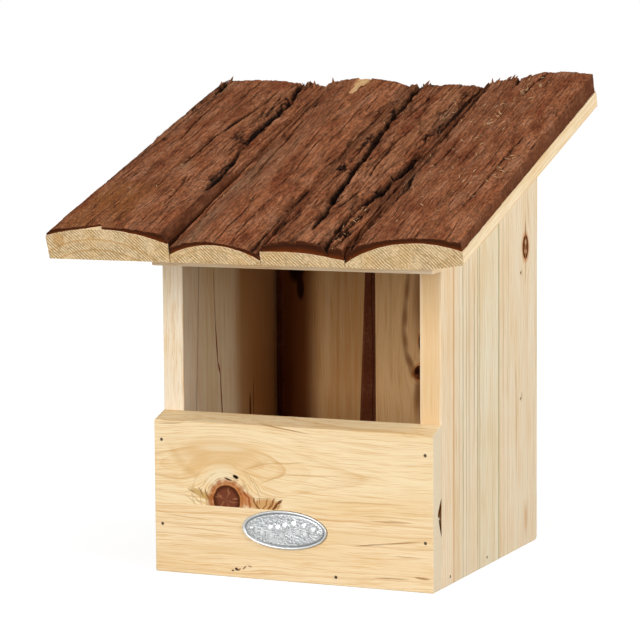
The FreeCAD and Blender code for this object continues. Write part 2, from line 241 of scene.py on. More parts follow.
def knot_eye(new, colour, frayed, local, half_u, spread, heart, crackle):
    """Colour with a knot laid over it: its halo, the branch's rings and cracks from its middle."""
    size = new(VECTOR, [local], out="Value", operation="LENGTH")
    rough = new("MULTIPLY_ADD", [frayed, 0.24, -0.12])
    eye = new("MULTIPLY_ADD", [size, spread, rough])
    halo = new(RANGE, [eye, 1.55, 0.98, 0.0, 0.85], interpolation_type="SMOOTHSTEP")
    colour = new(MIX, {0: halo, 6: colour, 7: KNOT_HALO}, **COLOURS)
    inner = new("FRACT", [new("MULTIPLY", [eye, half_u / KNOT_RING])])
    ringed = new("MULTIPLY", [inner, 0.4])
    tone = new(MIX, {0: ringed, 6: heart, 7: KNOT_DARK}, **COLOURS)
    sides = new(SEPARATE, [local]).node.outputs
    bearing = new("ARCTAN2", [sides[1], sides[0]])
    spoke = new("MULTIPLY_ADD", [bearing, 2.5, new("MULTIPLY", [frayed, 6.0])])
    beat = new("ABSOLUTE", [new("SINE", [spoke])])
    split = new(RANGE, [beat, 0.3, 0.05, 0.0, 0.6])
    tone = new(MIX, {0: split, 6: tone, 7: crackle}, **COLOURS)
    darker = new(RANGE, [eye, 0.6, 0.9, 0.0, 0.85], interpolation_type="SMOOTHSTEP")
    tone = new(MIX, {0: darker, 6: tone, 7: KNOT_DARK}, **COLOURS)
    within = new(RANGE, [eye, 1.02, 0.97])
    return new(MIX, {0: within, 6: colour, 7: tone}, **COLOURS)


def grazed(new, t, middle, length, depth):
    """Depth that makes the rings long loops, as where the saw grazes them."""
    far = new("DIVIDE", [new("SUBTRACT", [t, middle]), length])
    bell = new("POWER", [math.e, new("MULTIPLY", [far, far])])
    return new("MULTIPLY_ADD", [new("DIVIDE", [-1.0, bell]), depth, depth])


def late_wood(new, stave, from_pith, spacing, contrast):
    """How dark the late wood of the rings is, each ring in a strength of its own."""
    radius = new(VECTOR, [from_pith], out="Value", operation="LENGTH")
    ring = new("DIVIDE", [radius, spacing])
    number = new("MULTIPLY_ADD", [stave, RINGS_APART, new("FLOOR", [ring])])
    dark = new("POWER", [new(SCATTER, {"W": number}, noise_dimensions="1D"), 1.8])
    weight = new(RANGE, [dark, 0.0, 1.0, 0.1 * contrast, 1.1 * contrast])
    line = new(RAMP, [new("FRACT", [ring])], stops=[
        (0.0, 0.05), (0.5, 0.1), (0.82, 0.7), (0.92, 1.0), (1.0, 0.05)])
    return new("MULTIPLY", [line, weight])


def wood_colour(new, flat, flowing, late, contrast):
    """Colour of the wood without its marks, and its fibres.

    Real fibres are too fine to show, so they are drawn 0.5 mm across and some 30 mm long.
    """
    colour = new(MIX, {0: late, 6: EARLY_WOOD, 7: LATE_WOOD}, **COLOURS)
    honey = mottle(new, flat, (0.011, 0.075, 0.075), 4.0, 0.55)
    warm = new(RANGE, [honey, 0.45, 0.75, 0.0, 0.6])
    colour = new(MIX, {0: warm, 6: colour, 7: HONEY}, **COLOURS)
    fibre = mottle(new, flowing, (0.035, 2.0, 2.0), 3.0, 0.6)
    shade = new(RAMP, [fibre], stops=[(0.36, "#ecd8ba"), (0.5, "#ffffff"), (0.8, "#ffffff")])
    colour = new(MIX, {0: 0.85, 6: colour, 7: shade}, **TINTED)
    hair = mottle(new, flowing, (0.0385, 3.2, 3.2), 2.0, 0.5, 0.3)
    dash = new(RANGE, [hair, 0.62, 0.72, 0.0, 0.5 * contrast])
    return new(MIX, {0: dash, 6: colour, 7: DASH}, **COLOURS), fibre


def stave_tints(new, colour, stave, tints):
    """Colour with each stave in a tint of its own."""
    shares = len(tints)
    which = new("MULTIPLY_ADD", [stave, 1 / shares, 0.5 / shares])
    tint = new(RAMP, [which], stops=[(i / shares, c) for i, c in enumerate(tints)], stepped=True)
    return new(MIX, {0: 1.0, 6: colour, 7: tint}, **TINTED)


def end_share(new, along):
    """1 on the ends of a board, whose faces look along the grain, and 0 on its sides."""
    facing = new("ShaderNodeNewGeometry", out="Normal")
    toward = new(VECTOR, [facing, GRAIN_WAYS[along]], out="Value", operation="DOT_PRODUCT")
    return new(RANGE, [new("ABSOLUTE", [toward]), 0.7, 0.9])


def end_grain(new, colour, end, fibre, tone):
    """Colour with the ends a little duller or, where no mark is, in a tone of their own."""
    if not tone:
        return new(MIX, {0: new("MULTIPLY", [end, 0.9]), 6: colour, 7: END_GRAIN}, **TINTED)
    plain = new("MULTIPLY", [end, new(RANGE, [fibre, 0.0, 1.0, 0.95, 0.6])])
    bare = new(MIX, {0: plain, 6: colour, 7: tone}, **COLOURS)
    unmarked = new(RANGE, [new("ShaderNodeRGBToBW", [colour]), 0.12, 0.3])
    return new(MIX, {0: unmarked, 6: colour, 7: bare}, **COLOURS)


def gap_edge_shade(new, colour, t, u, end, edge):
    """Colour with one long edge, which faces a gap between slabs, darkened as painted shade, up to just
    behind the eave.
    """
    aside = new("ABSOLUTE", [new("SUBTRACT", [u, edge])])
    near = new("LESS_THAN", [aside, new(RANGE, [end, 0.0, 1.0, GAP_SHADE_WIDTH, 0.0])])
    cover = new("MULTIPLY", [near, new(RANGE, [t, 0.4, 2.0])])
    return new(MIX, {0: cover, 6: colour, 7: GAP_SHADE}, **COLOURS)


def saw_strokes(new, where, u, w, angle, pitch):
    """Grooves of a saw across an end, and how dark they and the torn fibres are."""
    across = new("MULTIPLY", [u, math.cos(angle) / pitch])
    stroke = new("MULTIPLY_ADD", [w, math.sin(angle) / pitch, across])
    uneven = new(NOISE, {"Vector": where, "Scale": 0.18, "Detail": 3.0})
    tooth = new("FRACT", [new("MULTIPLY_ADD", [uneven, 1.2, stroke])])
    off = new("ABSOLUTE", [new("SUBTRACT", [tooth, 0.5])])
    groove = new(RANGE, [off, 0.44, 0.14])
    patchy = new(NOISE, {"Vector": where, "Scale": 0.12, "Detail": 3.0})
    seen = new(RANGE, [patchy, 0.35, 0.55, 0.35, 0.85])
    scored = new("MULTIPLY", [new("SUBTRACT", [1.0, groove]), seen])
    fuzz = new(NOISE, {"Vector": where, "Scale": 0.42, "Detail": 5.0, "Roughness": 0.7})
    matted = new(RANGE, [fuzz, 0.48, 0.62, 0.0, 0.6])
    return groove, new("MAXIMUM", [scored, matted])


def pine(name, along, across, pith, spacing, joints=(), shift=23.7, tints=("#ffffff",), knots=(),
         washes=(), hoops=(), marks=(), pockets=(), shaded_edges=(), inside=None, figure=None, wander=1.6,
         contrast=0.8, saw=None, end_tone=None, on_roof=False):
    """Planed pine: pale early wood, tan late-wood lines, knots that the grain flows round.

    along and across name the axes of the grain and of the board's width. pith is where the
    rings centre, across and through the board, and shift moves it from stave to stave. spacing
    is a ring's width, wander how far rings stray and contrast how dark they are. joints are the
    glue lines between staves, and tints are the staves' tints.
    A knot is (stave, along, across, half length, half width, spread of the bent grain, heart,
    crackle). A mark is (stave, along, across, half length, half width, turn, colour, strength,
    softness); washes lie under the knots and marks over them. A hoop is (stave, along, across, half
    length, half width, share that it is wide, colour, strength). A pocket is (stave, along, across,
    through, three half sizes, turn about the grain, colour, strength, softness). stained are the
    places across the board of edges that face a gap between slabs and are darkened as painted shade.
    inside is the face, through the board, that lies in the box's shade and is tinted as painted
    shade, and its tint. figure is a loop's middle, length and depth. saw is the angle and the pitch
    of the saw's strokes on the ends, and end_tone is the colour of plain ends.
    """
    material, new = blank(name)
    where = place_of(new, on_roof)
    axes = new(SEPARATE, [where]).node.outputs
    through = ({"X", "Y", "Z"} - {along, across}).pop()
    t, u, w = axes[along], axes[across], axes[through]
    stave = 0.0
    for joint in joints:
        stave = new("ADD", [new("GREATER_THAN", [u, joint]), stave])
    flat = new(COMBINE, [t, new("MULTIPLY_ADD", [stave, STAVE_APART, u]), w])

    # Rings about the pith, wandering slowly along the board
    bent, eyes = round_knots(new, flat, u, knots)
    drift = mottle(new, flat, (0.007, 0.032, 0.05), 3.0, 0.45)
    ripple = mottle(new, flat, (0.0294, 0.1344, 0.21), 3.0)
    sway = new("MULTIPLY_ADD", [drift, 2 * wander, new("MULTIPLY", [ripple, 0.7 * wander])])
    off = new("SUBTRACT", [sway, 1.35 * wander + pith[0]])
    beside = new("ADD", [bent, new("MULTIPLY_ADD", [stave, shift, off])])
    below = new("SUBTRACT", [w, pith[1]])
    deep = grazed(new, t, *figure) if figure else 0.0
    late = late_wood(new, stave, new(COMBINE, [beside, below, deep]), spacing, contrast)
    flow = new("MULTIPLY_ADD", [stave, STAVE_APART, new("ADD", [bent, sway])])
    colour, fibre = wood_colour(new, flat, new(COMBINE, [t, flow, w]), late, contrast)
    colour = stave_tints(new, colour, stave, tints)
    # Painted shade: the inner face, in the shade of the box, takes a darker tint
    if inside:
        face, painted_shade_tint = inside
        shaded_face = new("LESS_THAN", [new("ABSOLUTE", [new("SUBTRACT", [w, face])]), SHADED_FACE_DEPTH])
        colour = new(MIX, {0: shaded_face, 6: colour, 7: painted_shade_tint}, **TINTED)

    # Edges of knots and marks wander with the fibres
    frayed = mottle(new, flat, (0.09, 0.32, 0.0), 1.5, out="Color")
    centred = new(VECTOR, [frayed, (0.5, 0.5, 0.5)], operation="SUBTRACT")
    moved = new(VECTOR, [centred, (1.6, 0.8, 0.0), flat], operation="MULTIPLY_ADD")
    colour = lay_marks(new, colour, moved, washes)
    for eye in eyes:
        colour = knot_eye(new, colour, frayed, *eye)
    for at, hoop_t, hoop_u, half_t, half_u, *paint in hoops:
        colour = hoop(new, colour, moved, (hoop_t, hoop_u + at * STAVE_APART, 0.0),
                      (half_t, half_u, RIGHT_THROUGH), *paint)
    colour = lay_marks(new, colour, moved, marks)
    for at, pocket_t, pocket_u, pocket_w, half_sizes, angle, *paint in pockets:
        colour = blot(new, colour, flat, (pocket_t, pocket_u + at * STAVE_APART, pocket_w),
                      half_sizes, (math.radians(angle), 0.0, 0.0), *paint)

    # End grain drinks the light, and the saw leaves its strokes there
    end = end_share(new, along)
    colour = end_grain(new, colour, end, fibre, end_tone)
    relief = new("ADD", [fibre, late])
    if saw:
        groove, marked = saw_strokes(new, where, u, w, *saw)
        colour = new(MIX, {0: new("MULTIPLY", [marked, end]), 6: colour, 7: SAW_MARK}, **COLOURS)
        relief = new(MIX, {0: end, 2: relief, 3: groove}, data_type="FLOAT")
    # Edges that face the gaps between slabs are darkened: painted shade
    for edge in shaded_edges:
        colour = gap_edge_shade(new, colour, t, u, end, edge)

    # Fibres shine a little, dry knots and cracks don't
    gloss = new(RANGE, [new("ShaderNodeRGBToBW", [colour]), 0.05, 0.3, 0.0, 0.12])
    sheen = new(RANGE, [fibre, 0.0, 1.0, 0.5, 0.72])
    finish_material(new, colour, relief, 0.35, 0.25, {"Roughness": sheen, "Specular IOR Level": gloss})
    return material


# Bark
DRY_BARK = {"Roughness": 0.9, "Specular IOR Level": 0.06}
# Lanes of thin splits: a lane's width, a split's length and half width, and how common it is
SPLIT_LANES = ((6.5, 64.0, 0.42, 0.24), (2.7, 26.0, 0.3, 0.16), (3.1, 11.0, 0.42, 0.13))


def thin_splits(new, where):
    """Thin splits up the slope, each in a lane of its own and tapering to both ends."""
    axes = new(SEPARATE, [where]).node.outputs
    sway = mottle(new, where, (0.03, 0.02, 0.0), 5.0, 0.55)
    across = new("MULTIPLY_ADD", [sway, 7.0, axes[0]])
    open_split = 0.0
    for lane_width, length, half, common in SPLIT_LANES:
        lanes = new("DIVIDE", [across, lane_width])
        lane = new("FLOOR", [lanes])
        first = new(SCATTER, {"W": lane}, noise_dimensions="1D")
        runs = new("MULTIPLY_ADD", [axes[1], 1 / length, first])
        pick = new(SCATTER, [new(COMBINE, [lane, new("FLOOR", [runs])])], noise_dimensions="2D")
        taper = new("SINE", [new("MULTIPLY", [new("FRACT", [runs]), math.pi])])
        place = new(RANGE, [new("FRACT", [new("MULTIPLY", [pick, 9.0])]), 0.0, 1.0, 0.25, 0.75])
        off = new("SUBTRACT", [new("FRACT", [lanes]), place])
        away = new("MULTIPLY", [new("ABSOLUTE", [off]), lane_width])
        wide = new("MULTIPLY", [new(RANGE, [pick, 1 - common, 1.0, 0.0, half]), taper])
        split = new(RANGE, [new("SUBTRACT", [wide, away]), -0.1, 0.12])
        open_split = new("MAXIMUM", [open_split, split])
    return open_split


def bark_outside(name, under="#5a301a"):
    """Outer pine bark: rust-brown, mottled and finely grained, with long thin splits, near-black
    cracks and paler places where it has torn. under is the darker colour of its sides, strongest
    next to the wood, and of a piece without layers all over: painted shade."""
    material, new = blank(name)
    where = place_of(new, on_roof=True)
    patch = mottle(new, where, (0.13, 0.045, 0.1), 5.0, 0.62)
    grain = mottle(new, where, (1.25, 0.32, 0.8), 2.0, 0.6)
    strand = mottle(new, where, (1.1, 0.045, 0.8), 4.0, 0.6, 0.4)
    colour = new(RAMP, [patch], stops=[(0.34, "#7e442a"), (0.5, "#965c3c"), (0.66, "#a77051")])
    for field, low, high in ((strand, 0.8, 1.1), (grain, 0.6, 1.26)):
        tone = new(RAMP, [field], stops=[(0.38, low), (0.5, 1.0), (0.62, high)])
        colour = new(MIX, {0: 1.0, 6: colour, 7: tone}, **TINTED)
    streaked = new(RANGE, [strand, 0.35, 0.6])
    for layer, hue in (("ochre", "#96602c"), ("ash", "#94755a"), ("pale", "#b98058")):
        share = new(ATTRIBUTE, attribute_name=layer, out="Fac")
        colour = new(MIX, {0: new("MULTIPLY", [share, streaked]), 6: colour, 7: hue}, **COLOURS)
    open_split = thin_splits(new, where)
    colour = new(MIX, {0: new("MULTIPLY", [open_split, 0.8]), 6: colour, 7: "#2b140b"}, **COLOURS)
    # crack darkens the cracks and, as painted shade, the gaps between plates and the troughs of wrinkles
    for layer, hue in (("crack", "#190c07"), ("dark", "#4a2716")):
        share = new(ATTRIBUTE, attribute_name=layer, out="Fac")
        colour = new(MIX, {0: share, 6: colour, 7: hue}, **COLOURS)
    # Painted shade: the bark's sides darken towards the wood
    depth = new(ATTRIBUTE, attribute_name="layer", out="Fac")
    side_shade = new(RANGE, [depth, 0.0, 1.0, 0.75, 0.0])
    colour = new(MIX, {0: side_shade, 6: colour, 7: under}, **COLOURS)
    splintered = new(RANGE, [strand, 0.35, 0.65])
    wood = new(MIX, {0: splintered, 6: "#c98f58", 7: "#f0cf9c"}, **COLOURS)
    torn = new(ATTRIBUTE, attribute_name="torn", out="Fac")
    colour = new(MIX, {0: torn, 6: colour, 7: wood}, **COLOURS)
    relief = new("MULTIPLY_ADD", [open_split, -0.9, grain])
    finish_material(new, colour, relief, 1.0, 0.6, DRY_BARK)
    return material


def pale_bast(name):
    """Torn bast fibres: dry straw colour, browner in places."""
    material, new = blank(name)
    where = place_of(new, on_roof=True)
    cloud = new(NOISE, {"Vector": where, "Scale": 0.3, "Detail": 3.0, "Roughness": 0.6})
    colour = new(RAMP, [cloud], stops=[(0.35, "#a8794f"), (0.55, "#d8b688"), (0.7, "#ecd4ac")])
    finish_material(new, colour, cloud, 0.4, 0.1, {"Roughness": 0.8, "Specular IOR Level": 0.1})
    return material


def bark_cut(name):
    """Sawn edge of the bark: chocolate layers, with a rusty line of inner bark next to the wood."""
    material, new = blank(name)
    where = place_of(new, on_roof=True)
    crumbs = new(NOISE, {"Vector": where, "Scale": 0.9, "Detail": 4.0, "Roughness": 0.65})
    layer = mottle(new, where, (0.06, 0.06, 1.6), 3.0)
    depth = new(ATTRIBUTE, attribute_name="layer", out="Fac")
    rough = new("ADD", [depth, new("MULTIPLY_ADD", [crumbs, 0.16, -0.08])])
    colour = new(RAMP, [rough], stops=[
        (0.0, "#6d3411"), (0.3, "#58280e"), (0.55, "#3f1f0f"), (0.85, "#452312"), (1.0, "#6b3d24")])
    bands = new(RAMP, [layer], stops=[(0.35, 0.6), (0.55, 1.0), (0.75, 1.15)])
    colour = new(MIX, {0: 0.7, 6: colour, 7: bands}, **TINTED)
    finish_material(new, colour, new("ADD", [crumbs, layer]), 0.6, 0.4, DRY_BARK)
    return material


# Noise and soft shapes for the relief
def lattice(i, j, seed):
    """Repeatable number from -1 to 1 for each cell of a grid."""
    mixed = (i * 374761393 + j * 668265263 + seed * 1274126177) & 0xFFFFFFFF
    mixed = ((mixed ^ (mixed >> 13)) * 1103515245) & 0xFFFFFFFF
    return (mixed ^ (mixed >> 16)) / 0xFFFFFFFF * 2 - 1


def smooth_noise(u, v, seed):
    """Smooth noise from -1 to 1 with one bump per unit."""
    i = np.floor(u).astype(np.int64)
    j = np.floor(v).astype(np.int64)
    fu = u - i
    fv = v - j
    fu = fu * fu * (3 - 2 * fu)
    fv = fv * fv * (3 - 2 * fv)
    low = lattice(i, j, seed) * (1 - fu) + lattice(i + 1, j, seed) * fu
    high = lattice(i, j + 1, seed) * (1 - fu) + lattice(i + 1, j + 1, seed) * fu
    return low * (1 - fv) + high * fv


def layered_noise(u, v, seed, octaves=4):
    """Noise with finer and finer detail, from about -1 to 1."""
    total = np.zeros(np.broadcast(u, v).shape)
    share = 0.5
    for octave in range(octaves):
        total += share * smooth_noise(u * 2 ** octave, v * 2 ** octave, seed + 31 * octave)
        share *= 0.55
    return total


def rise(value, low, high):
    """0 at low, 1 at high, smooth between them; low may be the larger."""
    t = np.clip((value - low) / (high - low), 0, 1)
    return t * t * (3 - 2 * t)


def plates(u, v, seed):
    """Flakes about one unit across: a number for each, and how far inside its edge a place is."""
    i = np.floor(u).astype(np.int64)
    j = np.floor(v).astype(np.int64)
    farthest = 9.0
    nearest = np.full(u.shape, farthest)
    second = np.full(u.shape, farthest)
    number = np.zeros(u.shape)
    for di in (-1, 0, 1):
        for dj in (-1, 0, 1):
            off_u = i + di + 0.5 + 0.45 * lattice(i + di, j + dj, seed) - u
            off_v = j + dj + 0.5 + 0.45 * lattice(i + di, j + dj, seed + 1) - v
            away = np.hypot(off_u, off_v)
            nearer = away < nearest
            second = np.where(nearer, nearest, np.minimum(second, away))
            number = np.where(nearer, lattice(i + di, j + dj, seed + 2), number)
            nearest = np.minimum(nearest, away)
    return number, second - nearest


def band(x, s, centre, half, start, end, fade=12.0):
    """Soft strip of a slab, given by its middle and half width and its reach up the slope."""
    sides = rise(np.abs(x - centre), half, 0.35 * half)
    return sides * rise(s, start - fade, start + fade) * rise(s, end + fade, end - fade)


def strips(x, s, rows, fade=12.0):
    """Strongest of some soft strips at each place of a slab."""
    value = np.zeros(x.shape)
    for centre, half, start, end, strength in rows:
        value = np.maximum(value, strength * band(x, s, centre, half, start, end, fade))
    return value


# Bark of the roof
BARK_LAYERS = 7
COLUMN_STEP = 0.5
ROW_STEP = 0.75
THINNEST_BARK = 0.4
CROWN_SUNK = 0.25
INSET = 0.02
SPLINTER_REACH = 5.0
FLAKE_MARGIN = 3.0
# Heights clear of the roof, from which its faces are searched
ABOVE_ROOF = 60.0
BELOW_ROOF = -20.0

# What the bark of each slab shows, in x and s. A crack is its points (s, x), half width and depth.
# Rugged, pale, ash, ochre, dark, torn and speckled strips are each a middle, half width, start,
# end and strength, and a rippled one has no strength. Splinters stand along parts of the rear
# edge. rough and fibre say how rugged and how stringy the rest is.
SLABS = (
    dict(seed=11, rough=0.22, fibre=0.1,
         cracks=[
             ([(88, -76.5), (128, -76), (140, -75), (155, -74), (170, -72), (185, -70), (203, -70)],
              1.3, 2.0),
             ([(96, -71), (112, -70.5), (128, -70.5)], 0.6, 1.2),
             ([(186, -87), (205, -86), (219, -86)], 0.8, 2.2),
             ([(192, -58), (205, -59), (219, -61)], 2.2, 2.2),
             ([(126, -56), (140, -57), (155, -57), (170, -56), (193, -56)], 2.0, 1.8),
             ([(58, -50.4), (74, -51), (85, -51.4), (95, -52.2), (104, -53.2), (112, -54.6), (126, -55)],
              2.0, 1.8),
             ([(33, -62), (50, -64), (60, -65), (76, -67)], 0.5, 1.0),
             ([(122, -95), (145, -98), (160, -99), (192, -99.5)], 0.8, 1.8),
             ([(190, -106), (200, -107), (219, -109)], 1.8, 3.0),
             ([(60, -113.4), (84, -113.2), (96, -113.6)], 1.0, 2.0)],
         rugged=[(-109, 9, 100, 219, 0.7), (-60, 11, 110, 219, 0.8), (-53, 4, 60, 140, 0.8)],
         pale=[(-70, 2.5, 128, 172, 0.6), (-66, 9, 150, 205, 0.3), (-72, 5, 58, 92, 0.25)],
         ash=[(-108, 8, 130, 219, 0.4), (-75, 3, 80, 92, 0.9)],
         ochre=[(-92, 26, -20, 62, 0.6)],
         # The first dark strip is the bark's sunken flank beside the second slab: reddish-brown bark,
         # darkened further as painted shade
         dark=[(-46, 4.4, -30, 88, 0.9), (-80, 9, 52, 74, 0.3), (-114, 3, 0, 219, 0.5)],
         splinters=[(-112, -103), (-62, -46)],
         speck=[(-75.5, 3.0, 82, 92, 0.9)], ripple=(-92, 24, -10, 58)),
    dict(seed=23, rough=0.2, fibre=0.08,
         cracks=[
             ([(78, -33), (95, -33), (120, -34), (162, -36)], 0.6, 1.4),
             ([(10, -12), (20, -12), (40, -12), (68, -10)], 0.4, 0.9),
             ([(-1, -25), (13, -25)], 0.5, 1.2),
             ([(70, -13), (95, -12.6), (120, -14), (150, -13)], 0.4, 0.8),
             ([(104, -8), (107, -3), (112, 2)], 0.5, 1.2),
             ([(18, 3.4), (30, 3.6), (60, 2.8), (80, 1.8)], 1.5, 1.6),
             ([(150, -41), (170, -41.5), (200, -41)], 0.8, 1.8)],
         rugged=[(-40, 6, 20, 219, 0.5), (3, 4, -10, 219, 0.7)],
         pale=[(-8, 8, 90, 150, 0.2), (-20, 12, 140, 219, 0.2)],
         ash=[(-35, 8, -10, 120, 0.75), (-27, 9, 60, 160, 0.3)],
         dark=[(5, 3, 0, 219, 0.5)],
         torn=[(-21.2, 5.6, 207, 232, 1.3), (-21.2, 2.6, 196, 222, 1.3)],
         splinters=[(-44, -38), (-1, 6)], speck=[(-38, 5, 30, 90, 0.1)]),
    dict(seed=37, rough=0.5, fibre=0.14,
         cracks=[
             ([(16, 29), (30, 28), (40, 27), (50, 25.4), (60, 24), (75, 23), (90, 21.7), (100, 21),
               (115, 20), (130, 17.6), (142, 16), (162, 14), (219, 12)], 2.1, 2.4),
             ([(163, 22), (180, 24), (202, 25)], 0.8, 2.2),
             ([(84, 33), (95, 32), (110, 31), (130, 30), (152, 31)], 0.7, 1.8),
             ([(48, 41.6), (55, 43), (65, 45), (80, 45.6), (95, 46.3), (110, 47.4), (126, 48.6)], 2.7, 2.8),
             ([(54, 41), (62, 38)], 0.9, 2.0),
             ([(148, 48), (160, 48), (172, 48), (219, 49)], 1.5, 1.6),
             ([(-2, 42), (20, 42), (50, 41.6)], 1.3, 1.4),
             ([(-2, 46.5), (20, 47), (52, 47.5)], 1.0, 2.4),
             ([(-2, 8.5), (16, 8.5), (34, 9.5)], 1.5, 1.6)],
         rugged=[(14, 9, 90, 219, 1.1), (46, 7, -20, 219, 1.0), (10, 5, -20, 45, 0.9)],
         pale=[(36, 5, 90, 219, 0.6), (34, 8, 20, 90, 0.2), (44.5, 1.6, -10, 45, 0.7)],
         ash=[(44, 4, 150, 190, 0.5)],
         dark=[(49.5, 3, 40, 219, 0.6), (8, 3, 0, 219, 0.5), (16, 6, 120, 219, 0.25)],
         splinters=[(6, 20), (44, 51)],
         speck=[(45, 3, -4, 60, 0.5), (43, 4, 150, 200, 0.2)]),
    dict(seed=53, rough=0.18, fibre=0.12,
         cracks=[
             ([(92, 65.5), (100, 66), (112, 67), (132, 67)], 0.7, 1.5),
             ([(48, 58), (65, 60), (75, 59), (88, 57)], 1.2, 1.4),
             ([(128, 54), (150, 55), (170, 55), (219, 54)], 1.3, 1.4),
             ([(-2, 55), (12, 56), (26, 55)], 1.4, 1.6),
             ([(-2, 90), (11, 90)], 0.6, 1.8),
             ([(200, 75), (219, 73)], 0.7, 1.6),
             ([(186, 85), (205, 87), (219, 89)], 0.7, 1.6),
             ([(20, 101), (60, 102), (130, 104)], 0.4, 0.8)],
         rugged=[(56, 5, -20, 219, 0.8), (70, 14, 196, 222, 0.7), (56, 8, -20, 30, 0.7)],
         pale=[(64, 4, 68, 92, 0.55), (66, 10, 150, 200, 0.15)],
         ash=[(57, 5, 76, 92, 0.5), (111, 5, 80, 110, 0.35)],
         dark=[(53.5, 3, 20, 219, 0.7)],
         splinters=[(52, 80)],
         speck=[(80, 4, 132, 163, 1.0), (92.5, 4, 180, 200, 1.0), (94.5, 4, 66, 84, 0.9),
                (105.5, 4, 76, 110, 0.9), (84, 1.5, 163, 202, 1.0), (80, 30, 20, 215, 0.1)]),
)


def crack_groove(x, s, seed, points, half, depth):
    """How far a crack is open at each place, and how near the crack's worn shoulders are."""
    along, side = zip(*points)
    wobble = 0.8 * layered_noise(s / 7, s * 0 + half, seed + 8, 3)
    wobble = wobble + 0.7 * smooth_noise(x / 2.4, s / 11, seed + 12)
    wobble = wobble + 0.4 * smooth_noise(x / 1.2, s / 5, seed + 13)
    off = np.abs(x - np.interp(s, along, side) - wobble)
    open_half = half * np.clip(1.1 + 0.6 * layered_noise(s / 9, s * 0 + depth, seed + 9, 3), 0.7, None)
    ends = rise(s, along[0] - 1, along[0] + 7) * rise(s, along[-1] + 1, along[-1] - 7)
    return ends * rise(off, 1.1 * open_half, 0.5 * open_half), ends * rise(off, 3.2 * half, half)


def bark_tones(x, s, slab, strand):
    """Shares of the bark's colours at each place of a slab."""
    blotch = 0.8 + 0.7 * layered_noise(strand / 3.5, s / 14, slab["seed"] + 11, 3)
    tones = {}
    for tone in ("pale", "ash", "ochre", "dark", "torn"):
        tones[tone] = np.clip(strips(x, s, slab.get(tone, ()), 6.0) * blotch, 0, 1)
    tones["torn"] = rise(tones["torn"], 0.3, 0.6)
    tones["speck"] = np.maximum(0.01, strips(x, s, slab["speck"], 3.0))
    tones["splinter"] = np.zeros(x.shape)
    for start, end in slab["splinters"]:
        among = rise(x, start, start + 2) * rise(x, end, end - 2)
        tones["splinter"] += among * (s > ROOF_LENGTH - SPLINTER_REACH)
    return tones


def bark_relief(x, s, slab):
    """Relief of the bark on the slab's crown, and what colours it."""
    seed = slab["seed"]
    x = x + 0 * s
    strand = x + 3.0 * layered_noise(x / 34, s / 70, seed, 2)
    rugged = np.maximum(slab["rough"], strips(x, s, slab["rugged"]))
    tones = bark_tones(x, s, slab, strand)
    worn = 1 - 0.8 * tones["dark"]

    # Long ridges, lumps and plates of three sizes with gaps between them
    fibres = layered_noise(strand / 1.25, s / 26, seed + 1, 3)
    ridges = layered_noise(strand / 7.0, s / 80, seed + 2, 3)
    lumps = layered_noise(strand / 4.5, s / 13, seed + 3, 3)
    bent = 0.3 * layered_noise(strand / 2.5, s / 9, seed + 6, 3)
    sheet, sheet_inside = plates(strand / 10.0 + 0.4 * bent, s / 90 + bent, seed + 7)
    flake, flake_inside = plates(strand / 5.0 + 0.6 * bent, s / 46 + bent, seed + 4)
    chip, chip_inside = plates(strand / 2.0 + bent, s / 18 + bent, seed + 5)
    edge = rise(sheet_inside, 0.12, 0.02)
    gap = rise(flake_inside, 0.16, 0.02)
    slit = rise(chip_inside, 0.2, 0.04)
    smooth_part = slab["fibre"] * fibres + 0.2 * ridges + 0.2 * lumps + 0.2 * sheet - 0.2 * edge
    relief = worn * smooth_part - CROWN_SUNK
    relief = relief + worn * rugged * (0.9 * flake - 0.9 * gap + 0.4 * chip - 0.4 * slit)
    # Painted shade: the gaps between plates take the cracks' dark colour
    crack = np.clip(rugged * worn * (0.95 * gap + 0.55 * slit) + 0.3 * edge * worn, 0, 1)

    for points, half, depth in slab["cracks"]:
        groove, shoulder = crack_groove(x, s, seed, points, half, depth)
        relief = relief - depth * groove - 0.2 * shoulder
        crack = np.maximum(crack, np.clip(1.2 * groove, 0, 1) * min(1.0, 0.6 + depth / 4))
    if "ripple" in slab:
        # Fine wrinkles across the smooth front
        fold = np.sin(s * 1.35 + 2.5 * layered_noise(x / 16, s / 18, seed + 10, 2))
        fold = fold * band(x, s, *slab["ripple"])
        relief = relief + 0.14 * fold
        # Painted shade: the troughs of the wrinkles are darkened
        crack = np.maximum(crack, 0.22 * rise(fold, -0.4, -1.0))
    relief = relief - 0.9 * tones["torn"]
    tones["crack"] = crack * (1 - tones["torn"])
    tones["pale"] = np.maximum(tones["pale"], 0.5 * rugged * rise(flake + chip, 0.2, 1.3))
    tones["flaky"] = np.clip(rugged - 0.5, 0, 1) * (s < ROOF_LENGTH - FLAKE_MARGIN)
    return relief, tones


def on_slope(x, s, h):
    """Points of the roof, in metres, from x, s and h in millimetres."""
    x, s, h = np.broadcast_arrays(x, s, h)
    eave = np.array([0.0, EAVE_Y, EAVE_Z])
    across = np.array([1.0, 0.0, 0.0])
    return (eave + x[..., None] * across + s[..., None] * UP_SLOPE + h[..., None] * OFF_SLOPE) * MM


def search_tree(*names):
    """Search tree over the faces of some CAD pieces."""
    points = []
    faces = []
    for name in names:
        start = len(points)
        points += [vertex.co for vertex in nodes[name].data.vertices]
        faces += [[start + i for i in face.vertices] for face in nodes[name].data.polygons]
    return BVHTree.FromPolygons(points, faces)


def heights(tree, x, s, above):
    """Height h of CAD faces at each x and s, met from above or from below."""
    start, way = (ABOVE_ROOF, -1.0) if above else (BELOW_ROOF, 1.0)
    points = on_slope(x, s, np.array(start))
    toward = Vector(way * OFF_SLOPE)
    reach = [tree.ray_cast(Vector(point), toward)[3] for point in points.reshape(-1, 3)]
    return start + way * np.array(reach).reshape(points.shape[:-1]) / MM


